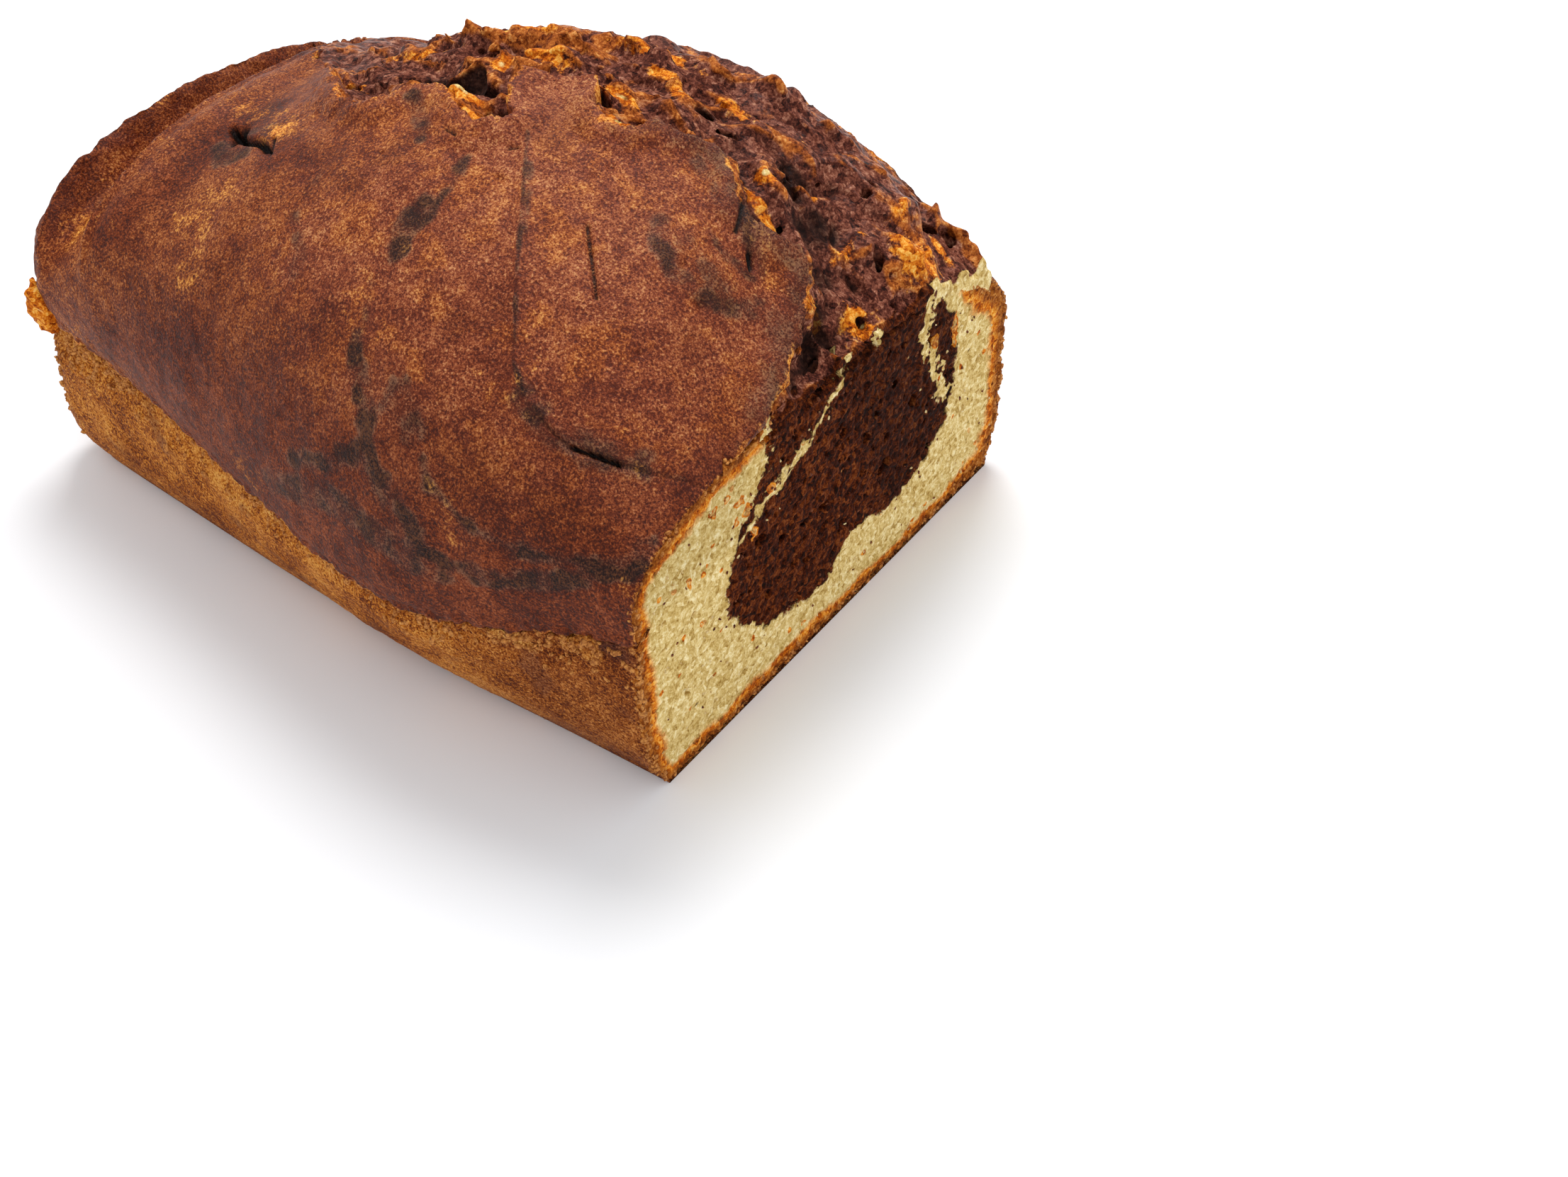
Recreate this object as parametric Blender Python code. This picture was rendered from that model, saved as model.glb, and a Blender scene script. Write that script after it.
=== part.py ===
"""Marble loaf cake, cut open at one end: one closed solid.

Metres, +Z up, +X along the loaf towards the cut, +Y towards its back. The origin is the middle of
the flat base. The loaf is a loft of closed sections that stand across its length: each runs up the
front wall that the tin shaped, over the pinched crease and the domed crust, through the burst that
opened along the top, and down the other side to the flat base.
"""
import math

import bmesh
import bpy
import numpy as np

MM = 0.001
PART_NAME = "marble_loaf"

# Driving sizes, in millimetres. X is 0 at the cut and negative towards the whole end.
LENGTH = 172.0
BASE_WIDTH = 115.0
MIDDLE_Y = BASE_WIDTH / 2.0
FOOT_TUCK = 5.0
FOOT_HEIGHT = 15.0
CORNER_RADIUS = 8.0
TOP_ROUNDING = 2.5
BURST_LIP = 2.2
BURST_LIP_WIDTH = 7.0
LUMP_HEIGHT = 2.4

# How each size runs along the loaf: (x, value) knots that a smooth curve joins.
# The crown rises from the end wall's thin lip and the groove behind it to a high middle.
CROWN_HEIGHT = (
    (-172, 69), (-169.5, 71.5), (-163, 63), (-157, 67.5), (-151, 76), (-135, 81), (-110, 91.5),
    (-80, 99.5), (-58, 100.5), (-38, 97.5), (-20, 89), (-8, 77), (0, 68),
)
CROWN_Y = ((-172, 42), (-150, 46), (-110, 54), (-60, 57.5), (-20, 54), (0, 50))
# Height at which the dome is widest, and how much lower that is at the back.
SPRING_HEIGHT = (
    (-172, 46), (-150, 44), (-125, 41), (-97, 38), (-72, 37), (-50, 37), (-30, 41), (-15, 46), (0, 50),
)
BACK_SLUMP = ((-172, 9), (-135, 7), (-110, 4), (-60, 2), (-40, 6), (-20, 10), (0, 11))
BACK_TRIM = 2.5
# The pinched crease between the tin's wall and the dome: its height, and its depth inward.
CREASE_HEIGHT = (
    (-172, 38), (-150, 36), (-125, 33), (-97, 31), (-72, 30), (-50, 30), (-30, 34), (-15, 39), (0, 43),
)
CREASE_DEPTH = ((-172, 1.5), (-120, 2.2), (-40, 2.2), (0, 1.0))
# How far the dome's widest line, and the base's edge, stand out from the straight base.
SIDE_BULGE = (
    (-172, 1.5), (-150, 4), (-125, 7), (-97, 12), (-72, 16.5), (-50, 17.5), (-35, 15), (-20, 11), (0, 7.3),
)
BASE_BOW = ((-172, -1), (-150, 0), (-90, 2.6), (-50, 2.8), (-20, 1), (0, 0))
# Power of the dome's rounded outline: 2 is an ellipse, more is flatter on top.
FULLNESS = ((-172, 2.35), (-163, 2.4), (-150, 2.3), (-120, 2.1), (-60, 2.0), (-20, 2.2), (0, 2.5))
BACK_FULLNESS = 2.05
# The burst: where its front and back edges run, and how far its floor lies below the dome.
BURST_FRONT = (
    (-172, 72), (-145, 64), (-122, 51), (-90, 45), (-72, 50), (-50, 57), (-30, 60), (-12, 54), (0, 33),
)
BURST_BACK = ((-172, 90), (-140, 94), (-100, 102), (-60, 106), (-30, 106), (0, 101))
BURST_DEPTH = ((-172, 0), (-150, 0.5), (-120, 2.5), (-80, 3.5), (-40, 4.5), (-15, 4), (0, 3.5))

# Faces around one section and along the length.
WALL_STEPS = 7
SKIN_STEPS = 15
BURST_STEPS = 14
BACK_STEPS = 11
BASE_STEPS = 6
LENGTH_STEPS = 52
CORNER_STEPS = 5
CUT_CROWDING = 1.25

CRUST_COLOUR = (0.20, 0.055, 0.022, 1.0)
CRUST_ROUGHNESS = 0.6


def along(knots, x):
    """Value at x of the smooth curve through the knots, a cubic with finite-difference slopes."""
    where = np.array([knot[0] for knot in knots], dtype=float)
    value = np.array([knot[1] for knot in knots], dtype=float)
    slope = np.gradient(value, where)
    index = int(np.clip(np.searchsorted(where, x) - 1, 0, len(where) - 2))
    span = where[index + 1] - where[index]
    t = min(max((x - where[index]) / span, 0.0), 1.0)
    start = (1 + 2 * t) * (1 - t) ** 2 * value[index] + t * (1 - t) ** 2 * span * slope[index]
    end = t * t * (3 - 2 * t) * value[index + 1] + t * t * (t - 1) * span * slope[index + 1]
    return start + end


def smooth_step(low, high, value):
    """0 below low, 1 above high, and a smooth rise between."""
    t = min(max((value - low) / (high - low), 0.0), 1.0)
    return t * t * (3 - 2 * t)


def arch_half(x, back):
    """Width, spring height and fullness of the front or back half of the dome over station x."""
    bulge = along(SIDE_BULGE, x)
    if back:
        half_width = BASE_WIDTH + bulge - BACK_TRIM - along(CROWN_Y, x)
        return half_width, along(SPRING_HEIGHT, x) - along(BACK_SLUMP, x), BACK_FULLNESS
    return along(CROWN_Y, x) + bulge, along(SPRING_HEIGHT, x), along(FULLNESS, x)


def arch_point(x, angle):
    """Point of the smooth dome over station x, from the front spring at 0 to the back one at pi."""
    half_width, spring, fullness = arch_half(x, angle > math.pi / 2)
    side = math.copysign(abs(math.cos(angle)) ** (2.0 / fullness), math.cos(angle))
    rise = (along(CROWN_HEIGHT, x) - spring) * max(math.sin(angle), 0.0) ** (2.0 / fullness)
    return along(CROWN_Y, x) - half_width * side, spring + rise


def arch_angle(x, y):
    """Angle at which the dome over station x stands above the given y."""
    half_width, _, fullness = arch_half(x, y > along(CROWN_Y, x))
    side = (along(CROWN_Y, x) - y) / half_width
    return math.acos(math.copysign(abs(side) ** (fullness / 2.0), side))


def wall_point(x, height, back):
    """Distance out from the base's edge, and height, of a wall at a share of its height."""
    z = height * (along(CREASE_HEIGHT, x) - back * along(BACK_SLUMP, x))
    foot = FOOT_TUCK * (1 - max(1 - z / FOOT_HEIGHT, 0.0) ** 2)
    bow = along(BASE_BOW, x)
    lean = (along(SIDE_BULGE, x) - FOOT_TUCK - bow) * height ** 1.2
    pinch = along(CREASE_DEPTH, x) * smooth_step(0.72, 1.0, height)
    return bow + foot + lean - pinch - back * BACK_TRIM * height, z


def lumps(x, y):
    """Height of the torn crumb's lumps at a place in the burst."""
    broad = math.sin(0.23 * x + 1.1 * math.sin(0.11 * y)) * math.sin(0.27 * y + 0.9)
    fine = math.sin(0.47 * x + 0.31 * y) * math.sin(0.52 * y - 0.19 * x + 2.0)
    return LUMP_HEIGHT * (0.65 * broad + 0.35 * fine)


def burst_sink(x, share):
    """How far the burst lies below the dome at a share of the way from its front edge to its back."""
    return along(BURST_DEPTH, x) * smooth_step(0.0, 0.1, share) * smooth_step(0.85, 0.45, share)


def section(x):
    """Closed outline of the loaf over station x as (y, z) points, from the front foot round."""
    front_wall = [wall_point(x, step / WALL_STEPS, False) for step in range(WALL_STEPS + 1)]
    back_wall = [wall_point(x, step / WALL_STEPS, True) for step in range(WALL_STEPS + 1)]
    outline = [(-out, z) for out, z in front_wall]
    first = arch_angle(x, along(BURST_FRONT, x))
    last = arch_angle(x, along(BURST_BACK, x))
    depth = along(BURST_DEPTH, x)
    for step in range(SKIN_STEPS + 1):
        y, z = arch_point(x, first * step / SKIN_STEPS)
        lip = BURST_LIP * smooth_step(-BURST_LIP_WIDTH, 0.0, y - along(BURST_FRONT, x))
        outline.append((y, z + lip * min(depth / 3.0, 1.0)))
    for step in range(1, BURST_STEPS):
        share = step / BURST_STEPS
        y, z = arch_point(x, first + (last - first) * share)
        rough = lumps(x, y) * min(depth / 3.0, 1.0) * smooth_step(0.0, 0.2, min(share, 1.0 - share))
        outline.append((y, z - burst_sink(x, share) + rough))
    for step in range(BACK_STEPS + 1):
        outline.append(arch_point(x, last + (math.pi - last) * step / BACK_STEPS))
    outline += [(BASE_WIDTH + out, z) for out, z in reversed(back_wall)]
    ends = (outline[-1][0], outline[0][0])
    for step in range(1, BASE_STEPS):
        outline.append((ends[0] + (ends[1] - ends[0]) * step / BASE_STEPS, 0.0))
    return outline


def end_ring(turn):
    """Station, side inset and top inset of a ring on the end wall's rounding, for an angle turned."""
    x = -LENGTH + CORNER_RADIUS * (1 - math.sin(turn))
    return x, CORNER_RADIUS * (1 - math.cos(turn)), TOP_ROUNDING * (1 - math.cos(turn))


def rings():
    """Every ring of the loft as (x, y, z) points, from the whole end to the cut."""
    made = []
    for step in range(CORNER_STEPS):
        x, inset, lowered = end_ring(0.5 * math.pi * (1 - step / CORNER_STEPS))
        outline = section(x)
        top = max(z for y, z in outline)
        scale = 1 - inset / (MIDDLE_Y + along(SIDE_BULGE, x))
        ring = [(x, MIDDLE_Y + (y - MIDDLE_Y) * scale, z * (1 - lowered / top)) for y, z in outline]
        made.append(ring)
    for step in range(LENGTH_STEPS + 1):
        share = 1 - (1 - step / LENGTH_STEPS) ** CUT_CROWDING
        x = -(LENGTH - CORNER_RADIUS) * (1 - share)
        made.append([(x, y, z) for y, z in section(x)])
    return made


def tuck_end_foot(point):
    """Round the foot of the whole end inward, as the sides' feet are."""
    x, y, z = point
    near = smooth_step(-LENGTH + 3 * CORNER_RADIUS, -LENGTH, x)
    return x + near * FOOT_TUCK * max(1 - z / FOOT_HEIGHT, 0.0) ** 2, y, z


def loft(all_rings):
    """Closed mesh over the rings, made from a flat grid that is wrapped round them and capped."""
    around = len(all_rings[0])
    bm = bmesh.new()
    bmesh.ops.create_grid(bm, x_segments=len(all_rings) - 1, y_segments=around, size=1.0)
    bm.verts.ensure_lookup_table()
    for vert in bm.verts:
        column = round((vert.co.x + 1) / 2 * (len(all_rings) - 1))
        row = round((vert.co.y + 1) / 2 * around) % around
        vert.co = [value * MM for value in tuck_end_foot(all_rings[column][row])]
    bmesh.ops.remove_doubles(bm, verts=bm.verts, dist=1e-7)
    bmesh.ops.holes_fill(bm, edges=bm.edges, sides=0)
    bmesh.ops.triangulate(bm, faces=bm.faces)
    bmesh.ops.recalc_face_normals(bm, faces=bm.faces)
    return bm


def centre_on_base(bm):
    """Move the mesh so that the middle of its bounding box's base is the origin."""
    places = np.array([vert.co[:] for vert in bm.verts])
    low, high = places.min(axis=0), places.max(axis=0)
    shift = ((low[0] + high[0]) / 2, (low[1] + high[1]) / 2, low[2])
    bmesh.ops.translate(bm, verts=bm.verts, vec=[-value for value in shift])


def crust_material():
    """Browned crust of the loaf."""
    material = bpy.data.materials.new("browned_crust")
    material.use_nodes = True
    shader = material.node_tree.nodes["Principled BSDF"]
    shader.inputs["Base Color"].default_value = CRUST_COLOUR
    shader.inputs["Roughness"].default_value = CRUST_ROUGHNESS
    shader.inputs["Metallic"].default_value = 0.0
    return material


def build_loaf():
    """The loaf as one object in a collection of its own."""
    collection = bpy.data.collections.new(PART_NAME)
    bpy.context.scene.collection.children.link(collection)
    bm = loft(rings())
    centre_on_base(bm)
    mesh = bpy.data.meshes.new(PART_NAME)
    bm.to_mesh(mesh)
    bm.free()
    mesh.materials.append(crust_material())
    mesh.shade_smooth()
    mesh.set_sharp_from_angle(angle=math.radians(50))
    loaf = bpy.data.objects.new(PART_NAME, mesh)
    collection.objects.link(loaf)
    return loaf


for leftover in list(bpy.data.objects):
    bpy.data.objects.remove(leftover)
build_loaf()
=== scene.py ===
"""Looks of the marble loaf cake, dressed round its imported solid.

Every shape is worked out in millimetres on the loaf's own form: X is 0 at the cut and runs negative
towards the whole end, Y runs from the front wall to the back one, and Z is up from the flat base.
"""
import itertools
import logging
import math
from dataclasses import dataclass, field
from enum import Enum
from functools import partial
from typing import Any

import bpy
import numpy as np
from mathutils import Matrix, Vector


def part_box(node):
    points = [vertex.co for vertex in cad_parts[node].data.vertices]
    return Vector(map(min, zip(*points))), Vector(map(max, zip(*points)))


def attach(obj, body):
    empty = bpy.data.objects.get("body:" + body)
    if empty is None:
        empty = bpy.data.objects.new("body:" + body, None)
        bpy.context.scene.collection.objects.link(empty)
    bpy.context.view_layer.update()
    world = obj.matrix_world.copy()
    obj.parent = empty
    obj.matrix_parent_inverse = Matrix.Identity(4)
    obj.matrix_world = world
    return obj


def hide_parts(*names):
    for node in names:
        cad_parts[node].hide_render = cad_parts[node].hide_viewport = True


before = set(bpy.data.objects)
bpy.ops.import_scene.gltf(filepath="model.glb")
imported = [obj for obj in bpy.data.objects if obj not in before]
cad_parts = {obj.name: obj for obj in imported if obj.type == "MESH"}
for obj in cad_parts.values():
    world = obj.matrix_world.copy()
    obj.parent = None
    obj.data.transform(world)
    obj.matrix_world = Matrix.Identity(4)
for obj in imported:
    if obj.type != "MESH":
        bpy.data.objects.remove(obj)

LOG = logging.getLogger("marble_loaf")
NODE = "marble_loaf"
BODY = "root"
MM = 0.001
MARK_REACH = 9.0
LEAST_POINTS = 3000
BROKEN_ROWS = 8
HEM = ((-3.5, 3.2), (-0.6, 1.6), (-0.12, 0.7), (-0.0, 0.25))
Array = np.ndarray
Colour = tuple[float, float, float, float]
Tones = tuple[Colour, ...]


class Slot(Enum):
    """Material slots of the loaf's pieces."""

    CRUST = "crust"
    CRUMB = "crumb"


def hue(red: int, green: int, blue: int) -> Colour:
    """Linear colour of a screen colour given from 0 to 255."""
    parts = [value / 255.0 for value in (red, green, blue)]
    linear = [p / 12.92 if p <= 0.04045 else ((p + 0.055) / 1.055) ** 2.4 for p in parts]
    return (linear[0], linear[1], linear[2], 1.0)


def tones(*screen: tuple[int, int, int]) -> Tones:
    """Linear colours of a ramp, from its darkest screen colour to its lightest."""
    return tuple(hue(*one) for one in screen)


def smooth_step(low: Any, high: Any, value: Any) -> Any:
    """0 at low, 1 at high, and a smooth rise between."""
    share = np.clip((value - low) / (high - low), 0.0, 1.0)
    return share * share * (3 - 2 * share)


def hump(distance: Any, width: float) -> Any:
    """A smooth hump that is 1 where distance is 0 and fades over width."""
    return np.exp(-((distance / width) ** 2))


def in_plane(across: Array, up: Array) -> Array:
    """Places with two given coordinates and 0 for the third."""
    return np.column_stack([np.ravel(across), np.ravel(up), np.zeros(np.size(across))])


@dataclass(frozen=True)
class Curve:
    """A smooth curve through (x, value) knots."""

    knots: tuple[tuple[float, float], ...]

    def at(self, x: Any) -> Any:
        """Value of the curve at each x."""
        where, value = np.array(self.knots, dtype=float).T
        slope = np.gradient(value, where)
        index = np.clip(np.searchsorted(where, x) - 1, 0, len(where) - 2)
        span = where[index + 1] - where[index]
        t = np.clip((x - where[index]) / span, 0.0, 1.0)
        start = (1 + 2 * t) * (1 - t) ** 2 * value[index] + t * (1 - t) ** 2 * span * slope[index]
        end = t * t * (3 - 2 * t) * value[index + 1] + t * t * (t - 1) * span * slope[index + 1]
        return start + end


class Noise:
    """Seeded smooth noise over points in millimetres."""

    def __init__(self, seed: int) -> None:
        """Set up the tables of one noise.

        Args:
            seed: Number that fixes the noise.
        """
        rng = np.random.default_rng(seed)
        self.order = np.tile(rng.permutation(256), 2).astype(np.int32)
        way = rng.normal(size=(256, 3))
        self.way = (way / np.linalg.norm(way, axis=1, keepdims=True)).astype(np.float32)
        self.spot = rng.random((256, 3)).astype(np.float32)

    def _pick(self, cell: Array) -> Array:
        """Table index of each whole-numbered cell."""
        first = self.order[cell[:, 0] & 255]
        second = self.order[first + (cell[:, 1] & 255)]
        return self.order[second + (cell[:, 2] & 255)]

    def smooth(self, points: Array, size: Any) -> Array:
        """Gradient noise, about -1 to 1.

        Args:
            points: Places in millimetres, one row each.
            size: Size of a feature in millimetres, one number or one for each axis.

        Returns:
            One value for each point.
        """
        spot = (points / np.asarray(size, dtype=np.float32)).astype(np.float32)
        cell = np.floor(spot).astype(np.int32)
        part = spot - cell
        fade = part * part * part * (part * (part * 6 - 15) + 10)
        total = np.zeros(len(points), dtype=np.float32)
        for corner in itertools.product((0, 1), repeat=3):
            step = np.array(corner, dtype=np.int32)
            slope = self.way[self._pick(cell + step)]
            weight = np.prod(np.where(step == 1, fade, 1 - fade), axis=1)
            total += weight * np.einsum("ij,ij->i", slope, part - step)
        return total * 1.7

    def layered(self, points: Array, size: Any, layers: int = 3, fall: float = 0.5) -> Array:
        """Several noises, each half the size of the last and weaker by fall.

        Args:
            points: Places in millimetres.
            size: Size of the broadest features.
            layers: How many noises are added.
            fall: Strength of each beside the one before.

        Returns:
            One value for each point.
        """
        total = np.zeros(len(points), dtype=np.float32)
        for layer in range(layers):
            shifted = points + 17.3 * layer
            total += fall ** layer * self.smooth(shifted, np.asarray(size) * 0.5 ** layer)
        return total

    def cells(self, points: Array, size: float) -> tuple[Array, Array]:
        """Distance to the nearest of a scatter of seeds, and a random number of that seed.

        Args:
            points: Places in millimetres.
            size: Spacing of the seeds.

        Returns:
            The distance in spacings, and the seed's number from 0 to 1.
        """
        spot = (points / size).astype(np.float32)
        cell = np.floor(spot).astype(np.int32)
        part = spot - cell
        nearest = np.full(len(points), 9.0, dtype=np.float32)
        number = np.zeros(len(points), dtype=np.int32)
        for offset in itertools.product((-1, 0, 1), repeat=3):
            step = np.array(offset, dtype=np.int32)
            pick = self._pick(cell + step)
            away = self.spot[pick] + step - part
            distance = np.einsum("ij,ij->i", away, away)
            closer = distance < nearest
            nearest = np.where(closer, distance, nearest)
            number = np.where(closer, pick, number)
        return np.sqrt(nearest), number / 255.0

    def stray(self, points: Array, amount: float, size: float) -> Array:
        """Places moved about by up to an amount, alike over features of a size."""
        moves = [self.smooth(points + shift, size) for shift in (11.0, 47.0, 83.0)]
        return points + amount * np.stack(moves, axis=1)


@dataclass(frozen=True)
class Outline:
    """A line or a closed outline of points in a plane, in millimetres."""

    points: tuple[tuple[float, float], ...]
    closed: bool = False

    def _ends(self) -> tuple[Array, Array]:
        """Start and end points of each stretch."""
        corners = np.array(self.points, dtype=float)
        if self.closed:
            return corners, np.roll(corners, -1, axis=0)
        return corners[:-1], corners[1:]

    def distance(self, across: Array, up: Array) -> Array:
        """Distance of each place to the line."""
        least = np.full(np.shape(across), 1e9)
        for (ax, ay), (bx, by) in zip(*self._ends()):
            run, rise = bx - ax, by - ay
            length = max(run * run + rise * rise, 1e-12)
            share = np.clip(((across - ax) * run + (up - ay) * rise) / length, 0.0, 1.0)
            gap = (across - ax - share * run) ** 2 + (up - ay - share * rise) ** 2
            least = np.minimum(least, gap)
        return np.sqrt(least)

    def depth(self, across: Array, up: Array) -> Array:
        """How far inside the closed outline each place is, negative outside."""
        inside = np.zeros(np.shape(across), dtype=bool)
        for (ax, ay), (bx, by) in zip(*self._ends()):
            spans = (ay > up) != (by > up)
            cross = ax + (up - ay) * (bx - ax) / (by - ay if by != ay else 1e-12)
            inside ^= spans & (across < cross)
        return np.where(inside, 1.0, -1.0) * self.distance(across, up)


@dataclass(frozen=True)
class Trail:
    """A line laid over the dome, from its points seen from above."""

    points: Array

    @staticmethod
    def over(form: "LoafForm", line: Outline) -> "Trail":
        """The line on the dome above a line in plan."""
        knots = np.array(line.points, dtype=float)
        run = np.append(0.0, np.cumsum(np.linalg.norm(np.diff(knots, axis=0), axis=1)))
        steps = np.linspace(0.0, run[-1], int(run[-1]) + 2)
        x, y = (np.interp(steps, run, knots[:, axis]) for axis in (0, 1))
        return Trail(np.column_stack([x, *form.arch(x, form.arch_angle(x, y))]))

    def distance(self, places: Array) -> Array:
        """Distance of each place to the line, no further than MARK_REACH."""
        low, high = self.points.min(axis=0) - MARK_REACH, self.points.max(axis=0) + MARK_REACH
        near = np.all((places > low) & (places < high), axis=1)
        close, least = places[near], np.full(len(places), MARK_REACH ** 2)
        for start, end in zip(self.points[:-1], self.points[1:]):
            run = end - start
            share = np.clip((close - start) @ run / max(run @ run, 1e-12), 0.0, 1.0)
            gap = np.sum((close - start - share[:, None] * run) ** 2, axis=1)
            least[near] = np.minimum(least[near], gap)
        return np.sqrt(least)


@dataclass(frozen=True)
class Spot:
    """A round mark on the top of the loaf: its place, its radii and its strength or depth."""

    x: float
    y: float
    along: float
    across: float
    depth: float
    sunk: float = 0.0

    def reach(self, x: Array, y: Array) -> Array:
        """Distance from the mark's middle in radii."""
        return np.sqrt(((x - self.x) / self.along) ** 2 + ((y - self.y) / self.across) ** 2)

    def glow(self, across: Array, up: Array) -> Array:
        """The mark's strength, full in its middle and faded beyond its radii."""
        reach = np.hypot((across - self.x) / self.along, (up - self.y) / self.across)
        return self.depth * hump(reach, 1.0)


@dataclass(frozen=True)
class Stations:
    """Cross stations along the loaf: place, side inset and lowering of the top at each."""

    x: Array
    inset: Array
    lowered: Array


@dataclass(frozen=True)
class LoafForm:
    """The loaf's smooth form, from the same named sizes as its solid."""

    length: float = 172.0
    base_width: float = 115.0
    foot_tuck: float = 5.0
    foot_height: float = 15.0
    corner_radius: float = 8.0
    top_rounding: float = 2.5
    burst_lip: float = 2.2
    burst_lip_width: float = 7.0
    back_trim: float = 2.5
    back_fullness: float = 2.05
    crown_height: Curve = Curve((
        (-172, 69), (-169.5, 71.5), (-163, 63), (-157, 67.5), (-151, 76), (-135, 81), (-110, 91.5),
        (-80, 99.5), (-58, 100.5), (-38, 97.5), (-20, 89), (-8, 77), (0, 68)))
    crown_y: Curve = Curve(((-172, 42), (-150, 46), (-110, 54), (-60, 57.5), (-20, 54), (0, 50)))
    spring: Curve = Curve((
        (-172, 46), (-150, 44), (-125, 41), (-97, 38), (-72, 37), (-50, 37), (-30, 41), (-15, 46),
        (0, 50)))
    back_slump: Curve = Curve((
        (-172, 9), (-135, 7), (-110, 4), (-60, 2), (-40, 6), (-20, 10), (0, 11)))
    crease: Curve = Curve((
        (-172, 38), (-150, 36), (-125, 33), (-97, 31), (-72, 30), (-50, 30), (-30, 34), (-15, 39),
        (0, 43)))
    crease_depth: Curve = Curve(((-172, 1.5), (-120, 2.2), (-40, 2.2), (0, 1.0)))
    bulge: Curve = Curve((
        (-172, 1.5), (-150, 4), (-125, 7), (-97, 12), (-72, 16.5), (-50, 17.5), (-35, 15),
        (-20, 11), (0, 7.3)))
    base_bow: Curve = Curve(((-172, -1), (-150, 0), (-90, 2.6), (-50, 2.8), (-20, 1), (0, 0)))
    fullness: Curve = Curve((
        (-172, 2.35), (-163, 2.4), (-150, 2.3), (-120, 2.1), (-60, 2.0), (-20, 2.2), (0, 2.5)))
    burst_front: Curve = Curve((
        (-172, 72), (-145, 64), (-122, 51), (-90, 45), (-72, 50), (-50, 57), (-30, 60), (-12, 54),
        (0, 33)))
    burst_back: Curve = Curve((
        (-172, 90), (-140, 94), (-100, 102), (-60, 106), (-30, 106), (0, 101)))
    burst_depth: Curve = Curve((
        (-172, 0), (-150, 0.5), (-120, 2.5), (-80, 3.5), (-40, 4.5), (-15, 4), (0, 3.5)))

    @property
    def middle(self) -> Array:
        """A point deep inside the loaf."""
        return np.array([-0.5 * self.length, 0.5 * self.base_width, 38.0])

    def front_reach(self) -> float:
        """How far the front bulges past the base's front edge."""
        return float(self.bulge.at(np.linspace(-self.length, 0.0, 2000)).max())

    def arch_half(self, x: Array, back: Array) -> tuple[Array, Array, Array]:
        """Half width, spring height and fullness of the dome's front or back half.

        Args:
            x: Stations.
            back: True where the back half is meant.

        Returns:
            The three sizes at each station.
        """
        bulge, crown = self.bulge.at(x), self.crown_y.at(x)
        half = np.where(back, self.base_width + bulge - self.back_trim - crown, crown + bulge)
        spring = self.spring.at(x) - np.where(back, self.back_slump.at(x), 0.0)
        return half, spring, np.where(back, self.back_fullness, self.fullness.at(x))

    def arch(self, x: Array, angle: Array) -> tuple[Array, Array]:
        """Y and Z of the smooth dome, from the front spring at angle 0 to the back one at pi."""
        half, spring, fullness = self.arch_half(x, angle > math.pi / 2)
        side = np.sign(np.cos(angle)) * np.abs(np.cos(angle)) ** (2.0 / fullness)
        lift = np.maximum(np.sin(angle), 0.0) ** (2.0 / fullness)
        return self.crown_y.at(x) - half * side, spring + (self.crown_height.at(x) - spring) * lift

    def arch_angle(self, x: Array, y: Array) -> Array:
        """Angle at which the dome stands above the given y."""
        half, _, fullness = self.arch_half(x, y > self.crown_y.at(x))
        side = np.clip((self.crown_y.at(x) - y) / half, -1.0, 1.0)
        return np.arccos(np.sign(side) * np.abs(side) ** (fullness / 2.0))

    def crease_point(self, x: Array, back: bool) -> tuple[Array, Array]:
        """Y and Z of the pinched crease between the wall and the dome."""
        pinch = self.bulge.at(x) - self.crease_depth.at(x)
        if back:
            return (self.base_width + pinch - self.back_trim,
                    self.crease.at(x) - self.back_slump.at(x))
        return -pinch, self.crease.at(x)

    def wall(self, x: Array, height: Array, back: bool) -> tuple[Array, Array]:
        """Y and Z of a wall at a share of its height."""
        z = height * (self.crease.at(x) - (self.back_slump.at(x) if back else 0.0))
        foot = self.foot_tuck * (1 - np.maximum(1 - z / self.foot_height, 0.0) ** 2)
        bow = self.base_bow.at(x)
        lean = (self.bulge.at(x) - self.foot_tuck - bow) * height ** 1.2
        pinch = self.crease_depth.at(x) * smooth_step(0.72, 1.0, height)
        out = bow + foot + lean - pinch
        return (self.base_width + out - self.back_trim * height, z) if back else (-out, z)

    def stations(self, spacing: float, turns: int = 18) -> Stations:
        """Stations from the cut to the whole end and round its upright corner."""
        straight = self.length - self.corner_radius
        x = np.linspace(0.0, -straight, int(straight / spacing) + 1)
        turn = np.linspace(0.0, 0.5 * math.pi, turns + 1)[1:]
        return Stations(
            np.concatenate([x, -straight - self.corner_radius * np.sin(turn)]),
            np.concatenate([0 * x, self.corner_radius * (1 - np.cos(turn))]),
            np.concatenate([0 * x, self.top_rounding * (1 - np.cos(turn))]))

    def settle(self, at: Stations, y: Array, z: Array) -> Array:
        """Places of section points, drawn in round the upright corner and at the foot.

        Args:
            at: The stations, one for each row of y and z.
            y: Section points' Y.
            z: Section points' Z.

        Returns:
            Places, one row of them for each station.
        """
        x, inset, lowered = at.x[:, None], at.inset[:, None], at.lowered[:, None]
        half = 0.5 * self.base_width
        y = half + (y - half) * (1 - inset / (half + self.bulge.at(x)))
        z = z * (1 - lowered / self.crown_height.at(x))
        near = smooth_step(-self.length + 3 * self.corner_radius, -self.length, x)
        x = x + near * self.foot_tuck * np.maximum(1 - z / self.foot_height, 0.0) ** 2
        return np.stack(np.broadcast_arrays(x, y, z), axis=-1)


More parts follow.
